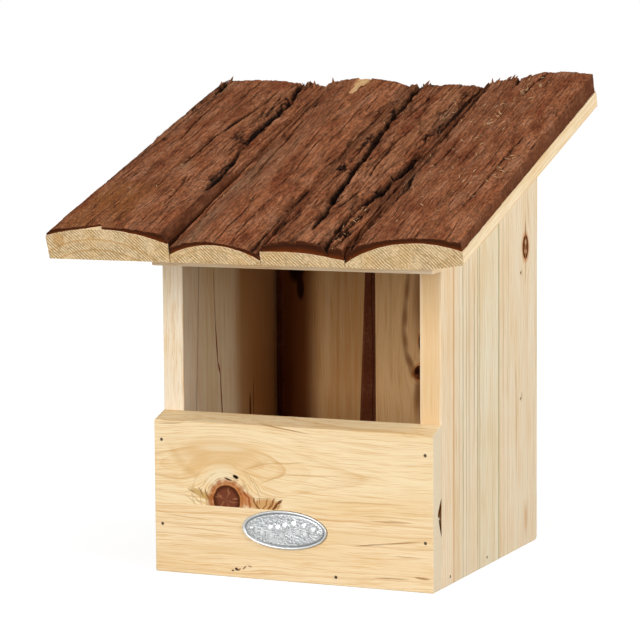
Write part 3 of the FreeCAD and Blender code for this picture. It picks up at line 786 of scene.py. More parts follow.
def put(name, data):
    """New object in the scene."""
    made = bpy.data.objects.new(name, data)
    scene.collection.objects.link(made)
    return made


def settle(piece, slot, *replaced):
    """Gives a piece its body and hides the CAD pieces that it stands for; slot is not used."""
    if replaced:
        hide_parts(*replaced)
    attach(piece, "root")


def coat(name, finish):
    """Gives a CAD piece its material."""
    nodes[name].data.materials.clear()
    nodes[name].data.materials.append(finish)


def finish_mesh(mesh, values, materials, sharp):
    """Gives a mesh its values at each point, its materials and its sharp edges, in degrees."""
    for title, value in values.items():
        layer = mesh.attributes.new(title, "FLOAT", "POINT")
        layer.data.foreach_set("value", value.astype(np.float32))
    for material in materials:
        mesh.materials.append(material)
    mesh.shade_smooth()
    mesh.set_sharp_from_angle(angle=math.radians(sharp))


def solid_mesh(name, points, kinds, values, materials):
    """Closed mesh of a block of points, with one material number for each of its six sides."""
    shell = np.zeros(points.shape[:3], bool)
    shell[[0, -1]] = True
    shell[:, [0, -1]] = True
    shell[:, :, [0, -1]] = True
    index = np.full(shell.shape, -1)
    index[shell] = np.arange(shell.sum())
    sides = {
        "top": index[:, :, -1], "bottom": index[:, :, 0].T,
        "front": index[:, 0, :], "rear": index[:, -1, :].T,
        "right": index[-1], "left": index[0].T,
    }
    faces = []
    numbers = []
    for side, grid in sides.items():
        quads = np.stack([grid[:-1, :-1], grid[1:, :-1], grid[1:, 1:], grid[:-1, 1:]], -1)
        faces.append(quads.reshape(-1, 4))
        numbers.append(np.full(len(faces[-1]), kinds[side]))
    mesh = bpy.data.meshes.new(name)
    mesh.from_pydata(points[shell], [], np.concatenate(faces))
    mesh.polygons.foreach_set("material_index", np.concatenate(numbers).astype(np.int32))
    seen = {title: np.broadcast_to(value, shell.shape)[shell] for title, value in values.items()}
    finish_mesh(mesh, seen, materials, 55)
    return mesh


def torn_front(x, number, seed):
    """How far the bark's front edge is broken back from the eave."""
    back = 0.35 + 0.35 * layered_noise(x / 5, x * 0, seed + 20, 3)
    if number == 1:
        # A chip is gone above the thickest part of the first slab
        back = back + np.interp(x, [-97, -92, -84, -81.5], [0.0, 0.8, 4.2, 0.0])
    return np.clip(back, 0, None)


def torn_rear(x, number, seed):
    """How far the bark's rear edge is broken back from the end of the slab."""
    back = 0.5 + 0.9 * layered_noise(x / 4, x * 0, seed + 21, 4)
    if number == 4:
        # The last slab's bark is torn furthest back left of its middle
        ragged = 1 + smooth_noise(x / 2.2, x * 0, seed + 22)
        back = back + 2.6 * rise(np.abs(x - 72), 18, 8) * ragged
    return np.clip(back, 0.1, None)


def crown_and_wood(name, x, s, x0, x1, seed):
    """Heights of the CAD bark's crown and of the wood under it.

    The crown's straight cracks are made to waver, and nails fill their holes in it.
    """
    waver = 0.7 * layered_noise(x / 3, s / 6, seed + 17, 3)
    waver = waver + 1.2 * layered_noise(x / 20, s / 16, seed + 18, 2)
    x_waver = np.clip(x + waver, x0 + INSET, x1 - INSET)
    s_inside = np.clip(s, INSET, ROOF_LENGTH - INSET)
    crown = heights(search_tree(name, "roof_nails"), x_waver, s_inside, True)
    x_inside = np.clip(x[:, 0], x0 + INSET, x1 - INSET)
    under = search_tree(name)
    eave_low = heights(under, x_inside, np.array(INSET), False)
    rear_low = heights(under, x_inside, np.array(ROOF_LENGTH - INSET), False)
    share = s / ROOF_LENGTH
    return crown, eave_low[:, None] * (1 - share) + rear_low[:, None] * share


def bark_piece(number, slab, materials):
    """Bark of one slab as a closed piece of its own, laid on the wood under it."""
    name = f"roof_bark_{number}"
    seed = slab["seed"]
    low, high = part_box(name)
    x0, x1 = low.x / MM, high.x / MM
    x = np.linspace(x0, x1, int((x1 - x0) / COLUMN_STEP))
    start = torn_front(x, number, seed)
    stop = ROOF_LENGTH - torn_rear(x, number, seed)
    s = start[:, None] + np.linspace(0, 1, int(ROOF_LENGTH / ROW_STEP)) * (stop - start)[:, None]
    x = x[:, None] + 0 * s
    crown, wood = crown_and_wood(name, x, s, x0, x1, seed)
    relief, tones = bark_relief(x, s, slab)
    # Nothing stands above the crown where the roof is highest
    relief = np.minimum(relief, 0.3 * rise(s, ROOF_LENGTH - 5, ROOF_LENGTH - 30))
    # The outer edge of the first slab is worn round, that of the last is sawn square
    worn = 0.45 * (crown - wood) * rise(x - x0, 5.0, 0.0) ** 2 * (number == 1)
    top = np.maximum(crown + relief - worn, wood + THINNEST_BARK)
    level = np.linspace(0, 1, BARK_LAYERS)
    h = wood[..., None] + (top - wood)[..., None] * level
    grid_x = x[..., None] + 0 * h
    grid_s = s[..., None] + 0 * h
    # Cut sides and ends aren't quite flat
    uneven = 0.4 * (1 + layered_noise(grid_s / 8, h / 3, seed + 15, 4))
    inward = rise(x - x0, 4.0, 0.0) - rise(x1 - x, 4.0, 0.0)
    grid_x += uneven * inward[..., None]
    crumbled = 0.3 * (1 + layered_noise(grid_x / 3, h / 1.5, seed + 16, 3))
    grid_s[:, 0] += crumbled[:, 0]
    grid_s[:, -1] -= crumbled[:, -1]
    if number == 4:
        # The sawn side of the last slab is darker: painted shade
        tones["dark"] = np.maximum(tones["dark"], 0.5 * rise(x1 - x, 0.9, 0.2))
    values = {title: value[..., None] for title, value in tones.items()}
    values["layer"] = level
    # Slivers grow on the outer face only, clear of its sides
    clear = rise(np.minimum(x - x0, x1 - x), 1.5, 4.0)
    values["outer"] = clear[..., None] * (level == 1)
    kinds = {"top": 0, "bottom": 1, "front": 1, "rear": 1, "right": 0, "left": 0}
    mesh = solid_mesh(f"bark_{number}", on_slope(grid_x, grid_s, h), kinds, values, materials)
    settle(put(f"bark_{number}", mesh), "bark", name)
    return mesh


# Pieces that Geometry Nodes grow on others
STREWN_SIZES = ("Per Square Metre", "Length", "Width", "Thickness", "Bend", "Lift", "Spin")
SPRIG_SIZES = ("Stem Length", "Stem Rise", "Stem Radius", "Leaf Length", "Leaf Width", "Leaf Thickness")


def tree_with(name, sizes):
    """New tree with a mesh and named sizes as inputs, those inputs, and the function that adds nodes."""
    tree = bpy.data.node_groups.new(name, "GeometryNodeTree")
    tree.interface.new_socket("Geometry", in_out="INPUT", socket_type="NodeSocketGeometry")
    for title in sizes:
        tree.interface.new_socket(title, in_out="INPUT", socket_type="NodeSocketFloat")
    tree.interface.new_socket("Geometry", in_out="OUTPUT", socket_type="NodeSocketGeometry")
    new = partial(add, tree)
    return tree, new, new("NodeGroupInput").node.outputs


def finish_tree(new, instances, material):
    """Ends a tree: instances become real and take their material."""
    real = new("GeometryNodeRealizeInstances", {"Geometry": instances})
    new("NodeGroupOutput", [new("GeometryNodeSetMaterial", {"Geometry": real, "Material": material})])


def grown(name, guide, tree, sizes):
    """Piece that a tree grows on a guide mesh, as a plain mesh."""
    holder = put(name, guide)
    modifier = holder.modifiers.new("grow", "NODES")
    modifier.node_group = tree
    for item in tree.interface.items_tree:
        if item.in_out == "INPUT" and item.name in sizes:
            modifier[item.identifier] = sizes[item.name]
    seen = holder.evaluated_get(bpy.context.evaluated_depsgraph_get())
    mesh = bpy.data.meshes.new_from_object(seen)
    holder.modifiers.remove(modifier)
    bpy.data.objects.remove(holder)
    return put(name, mesh)


def blade(new, width, thickness, bend):
    """Closed sliver one unit long that thins to both ends and bows up in its middle."""
    block = new("GeometryNodeMeshCube", {"Size": (1.0, 1.0, 1.0), "Vertices X": 7, "Vertices Y": 3})
    axes = new(SEPARATE, [new("GeometryNodeInputPosition")]).node.outputs
    along = new("ADD", [axes[0], 0.5])
    arc = new("SINE", [new("MULTIPLY", [along, math.pi])])
    swell = new("MAXIMUM", [arc, 0.08])
    side = new("MULTIPLY", [new("MULTIPLY", [axes[1], swell]), width])
    thin = new("MULTIPLY", [new("MULTIPLY", [axes[2], swell]), thickness])
    up = new("MULTIPLY_ADD", [arc, bend, thin])
    return new("GeometryNodeSetPosition", {
        "Geometry": block, "Position": new(COMBINE, [axes[0], side, up])})


def strewn(name, wanted, material, seed):
    """Tree that strews slivers over the outer faces of bark, as dense as an attribute says."""
    tree, new, sizes = tree_with(name, STREWN_SIZES)
    share = new("MULTIPLY", [new("GeometryNodeInputNamedAttribute", {"Name": title})
                             for title in (wanted, "outer")])
    density = new("MULTIPLY", [share, sizes["Per Square Metre"]])
    spread = new("GeometryNodeDistributePointsOnFaces", {
        "Mesh": sizes["Geometry"], "Density": density, "Seed": seed}).node.outputs
    lying = new("FunctionNodeAxesToRotation", {
        "Primary Axis": spread["Normal"], "Secondary Axis": tuple(UP_SLOPE)},
        primary_axis="Z", secondary_axis="X")
    tilt = new(RANDOM, {2: 0.0, 3: sizes["Lift"], "Seed": seed + 1}, out=1)
    other_way = new("MULTIPLY", [sizes["Spin"], -1.0])
    swing = new(RANDOM, {2: other_way, 3: sizes["Spin"], "Seed": seed + 2}, out=1)
    angles = new(COMBINE, {1: new("MULTIPLY", [tilt, -1.0]), 2: swing})
    turned = new("FunctionNodeRotateRotation", [lying, new("FunctionNodeEulerToRotation", [angles])],
                 rotation_space="LOCAL")
    length = new(RANDOM, {2: 0.4, 3: 1.0, "Seed": seed + 3}, out=1)
    slivers = new("GeometryNodeInstanceOnPoints", {
        "Points": spread["Points"], "Rotation": turned,
        "Instance": blade(new, sizes["Width"], sizes["Thickness"], sizes["Bend"]),
        "Scale": new("MULTIPLY", [length, sizes["Length"]])})
    for title, low, high in (("layer", 0.8, 1.0), ("pale", -0.4, 0.8), ("dark", -0.5, 0.5)):
        value = new(RANDOM, {2: low, 3: high, "Seed": seed + 4}, out=1)
        slivers = new("GeometryNodeStoreNamedAttribute", {
            "Geometry": slivers, "Name": title, "Value": value}, domain="INSTANCE")
    finish_tree(new, slivers, material)
    return tree


def sprig(name, material, leaves):
    """Tree that lays a leafy sprig on a point: a bent stem with leaves on alternate sides."""
    tree, new, sizes = tree_with(name, SPRIG_SIZES)
    start = new("MULTIPLY", [sizes["Stem Length"], -0.5])
    end = new("MULTIPLY", [sizes["Stem Length"], 0.5])
    dip = new("MULTIPLY", [sizes["Stem Rise"], -1.0])
    path = new("GeometryNodeCurvePrimitiveBezierSegment", {
        "Resolution": 24,
        "Start": new(COMBINE, [start]), "End": new(COMBINE, [end]),
        "Start Handle": new(COMBINE, {2: dip}), "End Handle": new(COMBINE, {2: sizes["Stem Rise"]})})
    ring = new("GeometryNodeCurvePrimitiveCircle", {"Resolution": 6, "Radius": sizes["Stem Radius"]})
    stem = new("GeometryNodeCurveToMesh", {"Curve": path, "Profile Curve": ring, "Fill Caps": True})
    along = new("GeometryNodeCurveToPoints", {"Curve": path, "Count": leaves}).node.outputs
    lying = new("FunctionNodeAxesToRotation", {
        "Primary Axis": (0.0, -1.0, 0.0), "Secondary Axis": along["Tangent"]},
        primary_axis="Z", secondary_axis="X")
    side = new("MODULO", [new("GeometryNodeInputIndex"), 2.0])
    swing = new(RANGE, [side, 0.0, 1.0, -0.8, 0.8])
    angles = new(COMBINE, {2: swing})
    turned = new("FunctionNodeRotateRotation", [lying, new("FunctionNodeEulerToRotation", [angles])],
                 rotation_space="LOCAL")
    leaf = new("GeometryNodeTransform", {
        "Geometry": blade(new, sizes["Leaf Width"], sizes["Leaf Thickness"], 0.02),
        "Translation": (0.5, 0.0, 0.0)})
    leafy = new("GeometryNodeInstanceOnPoints", {
        "Points": along["Points"], "Instance": leaf, "Rotation": turned, "Scale": sizes["Leaf Length"]})
    whole = new("GeometryNodeJoinGeometry", [leafy])
    tree.links.new(stem, whole.node.inputs[0])
    placed = new("GeometryNodeInstanceOnPoints", {"Points": sizes["Geometry"], "Instance": whole})
    finish_tree(new, placed, material)
    return tree


# Metals
def metal(name, colour, stain, roughness, grit):
    """Metal with a fine even texture, dull stains and dark hollows.

    grit is its grain in millimetres, drawn coarser than the real one so that it shows.
    """
    material, new = blank(name)
    where = place_of(new)
    fine = new(NOISE, {"Vector": where, "Scale": 0.5 / grit, "Detail": 3.0, "Roughness": 0.6})
    cloud = new(NOISE, {"Vector": where, "Scale": 0.12, "Detail": 4.0, "Roughness": 0.6})
    soiled = new(RANGE, [cloud, 0.45, 0.75, 0.0, 0.7])
    tone = new(MIX, {0: soiled, 6: colour, 7: stain}, **COLOURS)
    hollow = new(ATTRIBUTE, attribute_name="hollow", out="Fac")
    tone = new(MIX, {0: hollow, 6: tone, 7: "#5d6061"}, **COLOURS)
    gloss = new(RANGE, [fine, 0.0, 1.0, roughness - 0.12, roughness + 0.12])
    finish_material(new, tone, fine, 0.3, 0.1, {"Metallic": 1.0, "Roughness": gloss})
    return material


def pressed_plate(material):
    """Oval label plate pressed from sheet: rolled rim, groove inside it and a stippled field.

    Returns the middle of its field. Heights are shares of the sheet's thickness.
    """
    low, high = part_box("oval_plate")
    middle_x, middle_z = (low.x + high.x) / 2 / MM, (low.z + high.z) / 2 / MM
    half_x, half_z = (high.x - low.x) / 2 / MM, (high.z - low.z) / 2 / MM
    thick = (high.y - low.y) / MM
    rim = 1.9
    grit = 0.55
    shift = 60
    around, rings, steps = 260, 44, 14
    angle = np.linspace(0, 2 * math.pi, around, endpoint=False)
    part = np.concatenate([np.linspace(0.02, 1, rings), np.ones(steps)])[:, None]
    out = np.concatenate([np.zeros(rings), np.linspace(0, 1, steps + 1)[1:]])[:, None]
    x = part * (half_x - rim * (1 - out)) * np.cos(angle)
    z = part * (half_z - rim * (1 - out)) * np.sin(angle)
    stipple = layered_noise((x + shift) / grit, (z + shift) / grit, 71, 2) * rise(part, 1.0, 0.96)
    rolled = np.interp(out, [0.0, 0.12, 0.3, 0.5, 0.72, 0.9, 1.0], [0.5, 0.5, 0.8, 0.97, 1.0, 0.9, 0.62])
    front = thick * np.where(part < 1, 0.62 + 0.1 * rise(part, 1.0, 0.94), rolled) + 0.12 * stipple
    hollow = np.where(part < 1, 0.16 + 0.5 * rise(stipple, 0.1, -0.3), rise(rolled, 0.75, 0.5) * 0.8)
    points = np.concatenate([
        np.stack([x, -front, z], -1).reshape(-1, 3),
        np.stack([x[-1], 0 * angle, z[-1]], -1),
        np.array([[0.0, -thick * 0.72, 0.0]]),
    ]) + np.array([middle_x, high.y / MM, middle_z])
    grid = np.arange((rings + steps + 1) * around).reshape(-1, around)
    following = np.roll(grid, -1, axis=1)
    quads = np.stack([grid[:-1], grid[1:], following[1:], following[:-1]], -1).reshape(-1, 4)
    centre = len(points) - 1
    faces = quads.tolist() + [[centre, a, b] for a, b in zip(grid[0], following[0])]
    faces.append(grid[-1][::-1].tolist())
    mesh = bpy.data.meshes.new("label_plate")
    mesh.from_pydata(points * MM, [], faces)
    values = {"hollow": np.concatenate([hollow.ravel(), np.zeros(around), [0.4]])}
    finish_mesh(mesh, values, [material], 60)
    settle(put("label_plate", mesh), "plate_metal", "oval_plate")
    return Vector((middle_x, high.y / MM - 0.66 * thick, middle_z)) * MM


# Stage: camera where the photograph was taken, four soft boxes and a pale floor, in metres and radians
CAMERA_PLACE = Vector((0.57828, -1.31591, 0.29002))
CAMERA_AZIMUTH = 0.418123
CAMERA_ELEVATION = 0.108884
CAMERA_ROLL = -0.007228
CAMERA_LENS = 151.28
CAMERA_SENSOR = 36.0
LAMP_AIM = Vector((0, 0, 0.12))
LAMP_DISTANCE = 1.8
# Name, azimuth and elevation in degrees, width, height and watts
SOFT_BOXES = (
    ("strip_front_left", -12, 17, 0.3, 1.2, 20.5),
    ("strip_right", 62, 20, 0.4, 1.2, 11),
    ("soft_box_side", 108, 20, 0.8, 0.8, 12.5),
    ("soft_box_top", 20, 72, 0.8, 0.8, 8),
)
FLOOR_REACH = 4.0


def backward(azimuth, elevation):
    """Unit vector from the object to what looks at it; azimuth turns to the right of the front."""
    level = math.cos(elevation)
    return Vector((math.sin(azimuth) * level, -math.cos(azimuth) * level, math.sin(elevation)))


def look_from(place, azimuth, elevation, roll):
    """Matrix of a camera or a lamp from its place and angles."""
    back = backward(azimuth, elevation)
    right = (-back).cross(Vector((0, 0, 1))).normalized()
    up = right.cross(-back)
    level = right * math.cos(roll) + up * math.sin(roll)
    upright = up * math.cos(roll) - right * math.sin(roll)
    matrix = Matrix((level, upright, back)).transposed().to_4x4()
    matrix.translation = place
    return matrix


def seen_white(new, light, surface):
    """White for what looks at it directly or in a reflection, and its own light for the rest."""
    path = new("ShaderNodeLightPath").node.outputs
    seen = path["Is Camera Ray"]
    for ray in ("Is Glossy Ray", "Is Transmission Ray"):
        seen = new("MAXIMUM", [seen, path[ray]])
    return new("ShaderNodeMixShader", [seen, light, surface])


camera = put("camera", bpy.data.cameras.new("camera"))
camera.data.lens = CAMERA_LENS
camera.data.sensor_width = CAMERA_SENSOR
camera.matrix_world = look_from(CAMERA_PLACE, CAMERA_AZIMUTH, CAMERA_ELEVATION, CAMERA_ROLL)
scene.camera = camera
scene.view_settings.view_transform = "Standard"

for name, azimuth, elevation, width, height, watts in SOFT_BOXES:
    lamp = put(name, bpy.data.lights.new(name, "AREA"))
    lamp.data.shape = "RECTANGLE"
    lamp.data.size = width
    lamp.data.size_y = height
    lamp.data.energy = watts
    angles = math.radians(azimuth), math.radians(elevation)
    lamp.matrix_world = look_from(LAMP_AIM + backward(*angles) * LAMP_DISTANCE, *angles, 0.0)

scene.world = bpy.data.worlds.new("studio")
scene.world.use_nodes = True
scene.world.node_tree.nodes.clear()
new = partial(add, scene.world.node_tree)
ambient, white = (new("ShaderNodeBackground", ["#ffffff", strength]) for strength in (0.14, 1.0))
new("ShaderNodeOutputWorld", {"Surface": seen_white(new, ambient, white)})

floor_mesh = bpy.data.meshes.new("studio_floor")
corners = [(x * FLOOR_REACH, y * FLOOR_REACH, 0) for x, y in ((-1, -1), (1, -1), (1, 1), (-1, 1))]
floor_mesh.from_pydata(corners, [], [(0, 1, 2, 3)])
pale_floor, new = blank("pale_floor")
matt, faint = (new("ShaderNodeBsdfDiffuse", {"Color": shade}) for shade in ("#b4b4b4", "#949494"))
here = new("ShaderNodeTexCoord", out="Object")
around = new(VECTOR, [here], out="Value", operation="LENGTH")
level = new(RANGE, [around, 0.2, 0.6, 0.86, 1.0])
glow = new("ShaderNodeEmission", {"Color": "#ffffff", "Strength": level})
bright = new("ShaderNodeAddShader", [faint, glow])
new("ShaderNodeOutputMaterial", {"Surface": seen_white(new, matt, bright)})
floor_mesh.materials.append(pale_floor)
put("studio_floor", floor_mesh)


# Boards of the box
STREAK = "#a9773f"
BROWN = "#7c4420"
BLACK = "#24140c"
GLUE = "#a99868"
left_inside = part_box("left_side_panel")[1].x / MM
back_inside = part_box("back_board_left")[0].y / MM - FRONT_FACE_Y

# Front board
knot_flecks = [
    (1, -32, 53.9, 2.2, 1.1, -22, BLACK, 1.0, 0.4),
    (1, -36.5, 52.3, 3.2, 0.7, -16, "#3a2010", 0.95, 0.5),
    (1, -58, 44.7, 3.6, 0.5, -25, "#8f6a38", 0.7, 0.6),
    (1, -52.5, 44.6, 3.8, 0.55, -60, "#8a5f30", 0.75, 0.6),
    (1, -49, 43.4, 4.4, 0.7, -66, "#845228", 0.8, 0.6),
    (1, -55, 40.4, 4.6, 0.35, -38, "#b08a52", 0.7, 0.6),
    (1, -58.5, 40.4, 5.2, 0.3, -32, "#b08a52", 0.6, 0.6),
    (1, -15.8, 43.2, 9.5, 0.6, 1, "#b98a50", 0.6, 0.8),
    (1, -19.5, 40.6, 3.4, 0.5, 80, "#9c5f2c", 0.7, 0.6),
    (1, -12.2, 39.6, 2.6, 0.5, 62, "#8f5626", 0.7, 0.6),
    (1, -7.4, 39.4, 2.2, 0.45, 55, "#9c642e", 0.6, 0.6),
]
beside_knot = trails(1, [
    ([(-27.6, 46.4), (-24.6, 43.2), (-23.6, 38.0)], 0.9, "#9a4e20", 0.85, 0.6),
    ([(-21.8, 43.2), (-20.6, 39.8), (-18.0, 37.4)], 0.7, "#7c4a20", 0.85, 0.6),
    ([(-18.0, 43.4), (-17.8, 40.0)], 0.35, "#86603a", 0.8, 0.6),
    ([(-13.4, 43.0), (-14.2, 40.0), (-16.4, 37.6)], 0.6, "#9c6430", 0.85, 0.6),
    ([(-9.6, 43.4), (-10.8, 40.4), (-13.2, 37.6)], 0.7, "#8a5224", 0.9, 0.6),
    ([(-5.2, 42.9), (-8.0, 40.9), (-10.6, 37.6)], 1.0, "#6c3814", 0.95, 0.6),
    ([(-26, 57), (-21, 50), (-17.6, 44)], 0.35, "#b8925e", 0.55, 0.6),
    ([(-22, 53.5), (-17.5, 47)], 0.35, "#b8925e", 0.5, 0.6),
    ([(-26, 58.5), (-14, 62), (6, 63.5)], 0.5, "#cfa46a", 0.6, 0.6),
    ([(-16, 52), (-4, 56.5), (22, 57.5)], 0.5, "#cfa46a", 0.6, 0.6),
])
front_streaks = [
    (1, -4, 81, 18, 0.6, -7, STREAK, 0.75, 0.6),
    (1, -70, 80.5, 10, 0.5, 4, STREAK, 0.6, 0.6),
    (1, 55, 37.9, 30, 0.6, 0, "#d8b27a", 0.5, 0.6),
    (1, 40, 44.5, 34, 0.4, 1, "#c9995c", 0.6, 0.6),
    (0, -34, 3.7, 1.1, 0.6, 0, BLACK, 0.9, 0.5),
    (0, -30.5, 4.2, 1.7, 0.5, 25, BROWN, 0.9, 0.5),
    (0, -27, 5.6, 2.0, 0.6, 50, BROWN, 0.8, 0.5),
    (0, -24, 6.6, 1.6, 0.5, -15, BROWN, 0.7, 0.5),
    (0, 45, 22.8, 12, 0.55, 7, BROWN, 0.6, 0.6),
    (0, 62, 25.0, 14, 0.6, 7, STREAK, 0.75, 0.6),
    (0, 66, 18, 10, 0.4, 0, STREAK, 0.5, 0.6),
    (0, 57, 6.3, 13, 0.5, 2, BROWN, 0.5, 0.6),
    (0, 74, 7.6, 6, 0.8, -4, STREAK, 0.8, 0.6),
    (0, 57, 35.8, 15, 0.6, 1, STREAK, 0.6, 0.7),
    (0, -60, 30.5, 20, 0.5, -4, "#cfa062", 0.6, 0.7),
    (0, -50, 24.5, 24, 0.5, -2, "#cfa062", 0.6, 0.7),
]
coat("front_board", pine(
    "planed_pine_front_board", "X", "Z", pith=(80.0, -3.0), spacing=3.0, joints=(37.6,), shift=23.0,
    tints=("#fff3dc", "#fff5de"), figure=(-46.0, 48.0, 15.0), wander=4.2, contrast=0.6, end_tone="#e8d9be",
    knots=[(1, -37.2, 41.0, 7.9, 8.3, 1.5, "#7e4630", "#b07650")],
    hoops=[
        (1, -37.2, 41.0, 9.2, 9.6, 0.1, "#a0521f", 0.75),
        (1, -36.8, 41.0, 10.8, 10.9, 0.08, "#ad6c34", 0.6),
        (1, -36.6, 41.2, 12.6, 12.2, 0.04, "#b3884f", 0.6),
        (1, -38.4, 42.5, 14.4, 13.6, 0.025, "#c49a62", 0.55),
        (1, -39.8, 44.0, 17.6, 17.0, 0.03, "#d6b27a", 0.5),
    ],
    washes=[
        (1, -42, 66, 33, 10, 0, "#dfb274", 0.6, 0.6),
        (1, -55, 59, 13, 5, 40, "#e2b87c", 0.55, 0.6),
        (1, -40, 69, 20, 3.0, 0, "#f4dfb8", 0.6, 0.7),
        (1, -66, 62, 13, 4.4, -50, "#dcb074", 0.5, 1.0),
        (1, -58, 55, 8, 3.0, -30, "#dcb074", 0.5, 1.0),
        (1, -19, 61, 12, 3.2, 22, "#dcb074", 0.5, 1.0),
        (1, -40, 53, 13, 9, 0, "#f6e4c0", 0.7, 0.7),
        (1, -36.2, 42.4, 12.2, 10.4, 0, "#c17a42", 0.85, 0.45),
        (1, -25, 42, 6.5, 4.4, -38, "#c0763c", 0.85, 0.5),
        (1, -14.5, 39.8, 10.5, 3.9, 4, "#cf9a5c", 0.9, 0.4),
        (1, -53, 43.6, 9, 2.4, -24, "#c7a05c", 0.85, 0.6),
        (0, 20, 26, 70, 5, 1, "#ecca94", 0.5, 0.8),
        (0, -30, 14, 60, 4, -1, "#ecca94", 0.5, 0.8),
    ],
    pockets=[
        (1, 80, 37.5, 12.2, (8.0, 7.0, 3.6), 0, "#6a4220", 0.95, 0.2),
        (0, 80, 37.7, 12.2, (8.0, 7.0, 3.6), 0, "#6a4220", 0.95, 0.2),
        (1, 80, 40.2, 11.4, (8.0, 4.4, 4.8), 0, "#6a4220", 0.95, 0.2),
        (1, 80, 44.0, 10.2, (8.0, 8.2, 1.7), 34, "#54300f", 0.97, 0.3),
        (0, 80, 31.2, 10.9, (8.0, 8.8, 1.5), -24, "#48290f", 0.97, 0.3),
    ],
    marks=knot_flecks + beside_knot + front_streaks))

# Side panels
knot_tails = trails(3, [
    ([(185, 140), (160, 140), (148, 139.5)], 1.0, "#b98450", 0.55, 0.6),
    ([(180.5, 139.6), (172, 140)], 0.9, "#6e4422", 0.8, 0.6),
])
coat("right_side_panel", pine(
    "planed_pine_right_panel", "Z", "Y", pith=(-70.0, 60.0), spacing=2.9,
    joints=(29.7, 66.6, 98.2), shift=31.0, wander=1.0, contrast=0.42,
    tints=("#fbf5ec", "#f8f7f3", "#f6f8f3", "#f8f5ef"),
    knots=[(3, 167.6, 140, 6.6, 4.6, 1.6, "#7c4c2c", "#4a2814")],
    pockets=[(0, 120, 12, 74, (400, 3.2, 7.0), 0, "#e4b878", 0.6, 0.6)],
    marks=knot_tails + [
        (3, 170.4, 140.2, 2.0, 1.5, 0, "#d2a478", 0.9, 0.6),
        (3, 165.4, 139.0, 1.6, 1.1, 0, "#c79a70", 0.85, 0.6),
        (3, 164.9, 141.6, 1.5, 0.9, 0, "#c79a70", 0.8, 0.6),
        (0, 120, 29.0, 260, 1.1, 0, "#cf9556", 0.75, 0.7),
        (1, 120, 30.2, 260, 0.8, 0, "#d9aa70", 0.6, 0.7),
        (1, 110, 37.5, 120, 0.5, 0.1, "#bda67a", 0.8, 0.6),
        (1, 120, 43.0, 200, 0.7, 0, "#a8986f", 0.85, 0.6),
        (1, 100, 47.8, 160, 0.6, -0.1, "#b2a27a", 0.85, 0.6),
        (1, 130, 52.0, 160, 0.5, 0, "#a8986f", 0.8, 0.6),
        (1, 118, 59.6, 60, 0.6, 0, "#857a66", 0.9, 0.6),
        (1, 90, 64.8, 150, 1.0, 0.1, GLUE, 0.85, 0.6),
        (2, 120, 67.6, 260, 0.7, 0, "#b5a275", 0.8, 0.6),
        (2, 120, 97.2, 260, 1.2, 0, GLUE, 0.85, 0.6),
        (2, 60, 73.0, 60, 0.6, 0, "#c9ba93", 0.5, 0.7),
        (3, 150, 104, 120, 0.6, 0, "#c4ae80", 0.6, 0.6),
        (3, 120, 112, 140, 1.0, 0.2, "#d8c294", 0.6, 0.7),
        (3, 70, 125, 45, 1.6, -0.6, "#c59a64", 0.5, 0.8),
        (3, 96, 124.5, 12, 0.9, 0, "#a9763f", 0.5, 0.8),
        (3, 15, 141, 13, 4.0, 0, "#cf9c62", 0.6, 0.8),
        (3, 85, 134, 4, 1.3, 0, "#a6744a", 0.6, 0.7),
        (3, 154, 134, 3, 1.1, 0, "#a6744a", 0.5, 0.7),
        (3, 60, 154, 60, 0.8, 1.0, "#d3a878", 0.5, 0.8),
        (3, 130, 156, 70, 0.7, -0.6, "#d3a07c", 0.55, 0.8),
    ]))
long_crack = trails(1, [
    ([(157, 49.6), (147, 50), (125, 51.6)], 0.55, "#8a5a38", 0.8, 0.6),
    ([(125, 51.6), (107, 53.8), (100, 56.6), (60, 60.5)], 1.0, "#93421a", 0.95, 0.6),
])
left_streak = trails(0, [([(175, 32.5), (120, 29.5), (60, 25.5)], 0.6, "#9c7a52", 0.7, 0.6)])
coat("left_side_panel", pine(
    "planed_pine_left_panel", "Z", "Y", pith=(-40.0, 30.0), spacing=4.3,
    joints=(34.5,), shift=27.0, wander=2.6, contrast=0.3, tints=("#ffffff", "#fffef4"),
    pockets=[
        # Painted shade: the rear of the inner face, in the right panel's shadow, is browner
        (1, 120, 138, left_inside, (900, 66, 3.0), 0, "#bf8a50", 0.8, 0.22),
        (1, 76, 94.5, left_inside, (12, 1.3, 3.0), 0, "#42200c", 0.95, 0.6),
        (1, 80, 99, left_inside, (16, 0.7, 3.0), 0, "#5c3216", 0.8, 0.6),
    ],
    marks=long_crack + left_streak + [(1, 90, 72, 160, 1.6, 0, "#fbe9d0", 0.5, 0.9)]))

# Back boards, whose inner faces are tinted darker as painted shade
coat("back_board_left", pine(
    "planed_pine_back_board_left", "Z", "X", pith=(-36.0, 150.0), spacing=4.2, wander=4.0,
    inside=(back_inside, "#c2a27a"), contrast=0.35, figure=(60.0, 90.0, 12.0),
    washes=[
        (0, 110, -27.5, 90, 1.6, 0.6, "#a9703c", 0.5, 0.8),
        (0, 105, -22.5, 90, 1.2, -0.5, "#b57e48", 0.5, 0.8),
        (0, 95, -16.5, 120, 1.6, 0.4, "#b98048", 0.55, 0.8),
        (0, 120, -34, 60, 3.0, 0.8, "#c9a478", 0.5, 0.9),
    ],
    pockets=[
        # Painted shade: the left part of the back wall, in the left panel's shadow, is dark brown
        (0, 90, -66, back_inside, (600, 30, 3.0), 0, "#633315", 0.95, 0.45),
        (0, 154, -53, back_inside, (12, 6.5, 3.0), 0, "#241006", 0.97, 0.5),
        (0, 142, -50.5, back_inside, (9, 3.0, 3.0), 0, "#241006", 0.95, 0.5),
    ]))
curved_grain = trails(0, [
    ([(175, 18), (150, 15.6), (135, 14), (120, 12.8), (108, 14), (98, 17), (92, 21)],
     2.6, "#7a4420", 0.75, 0.9),
])
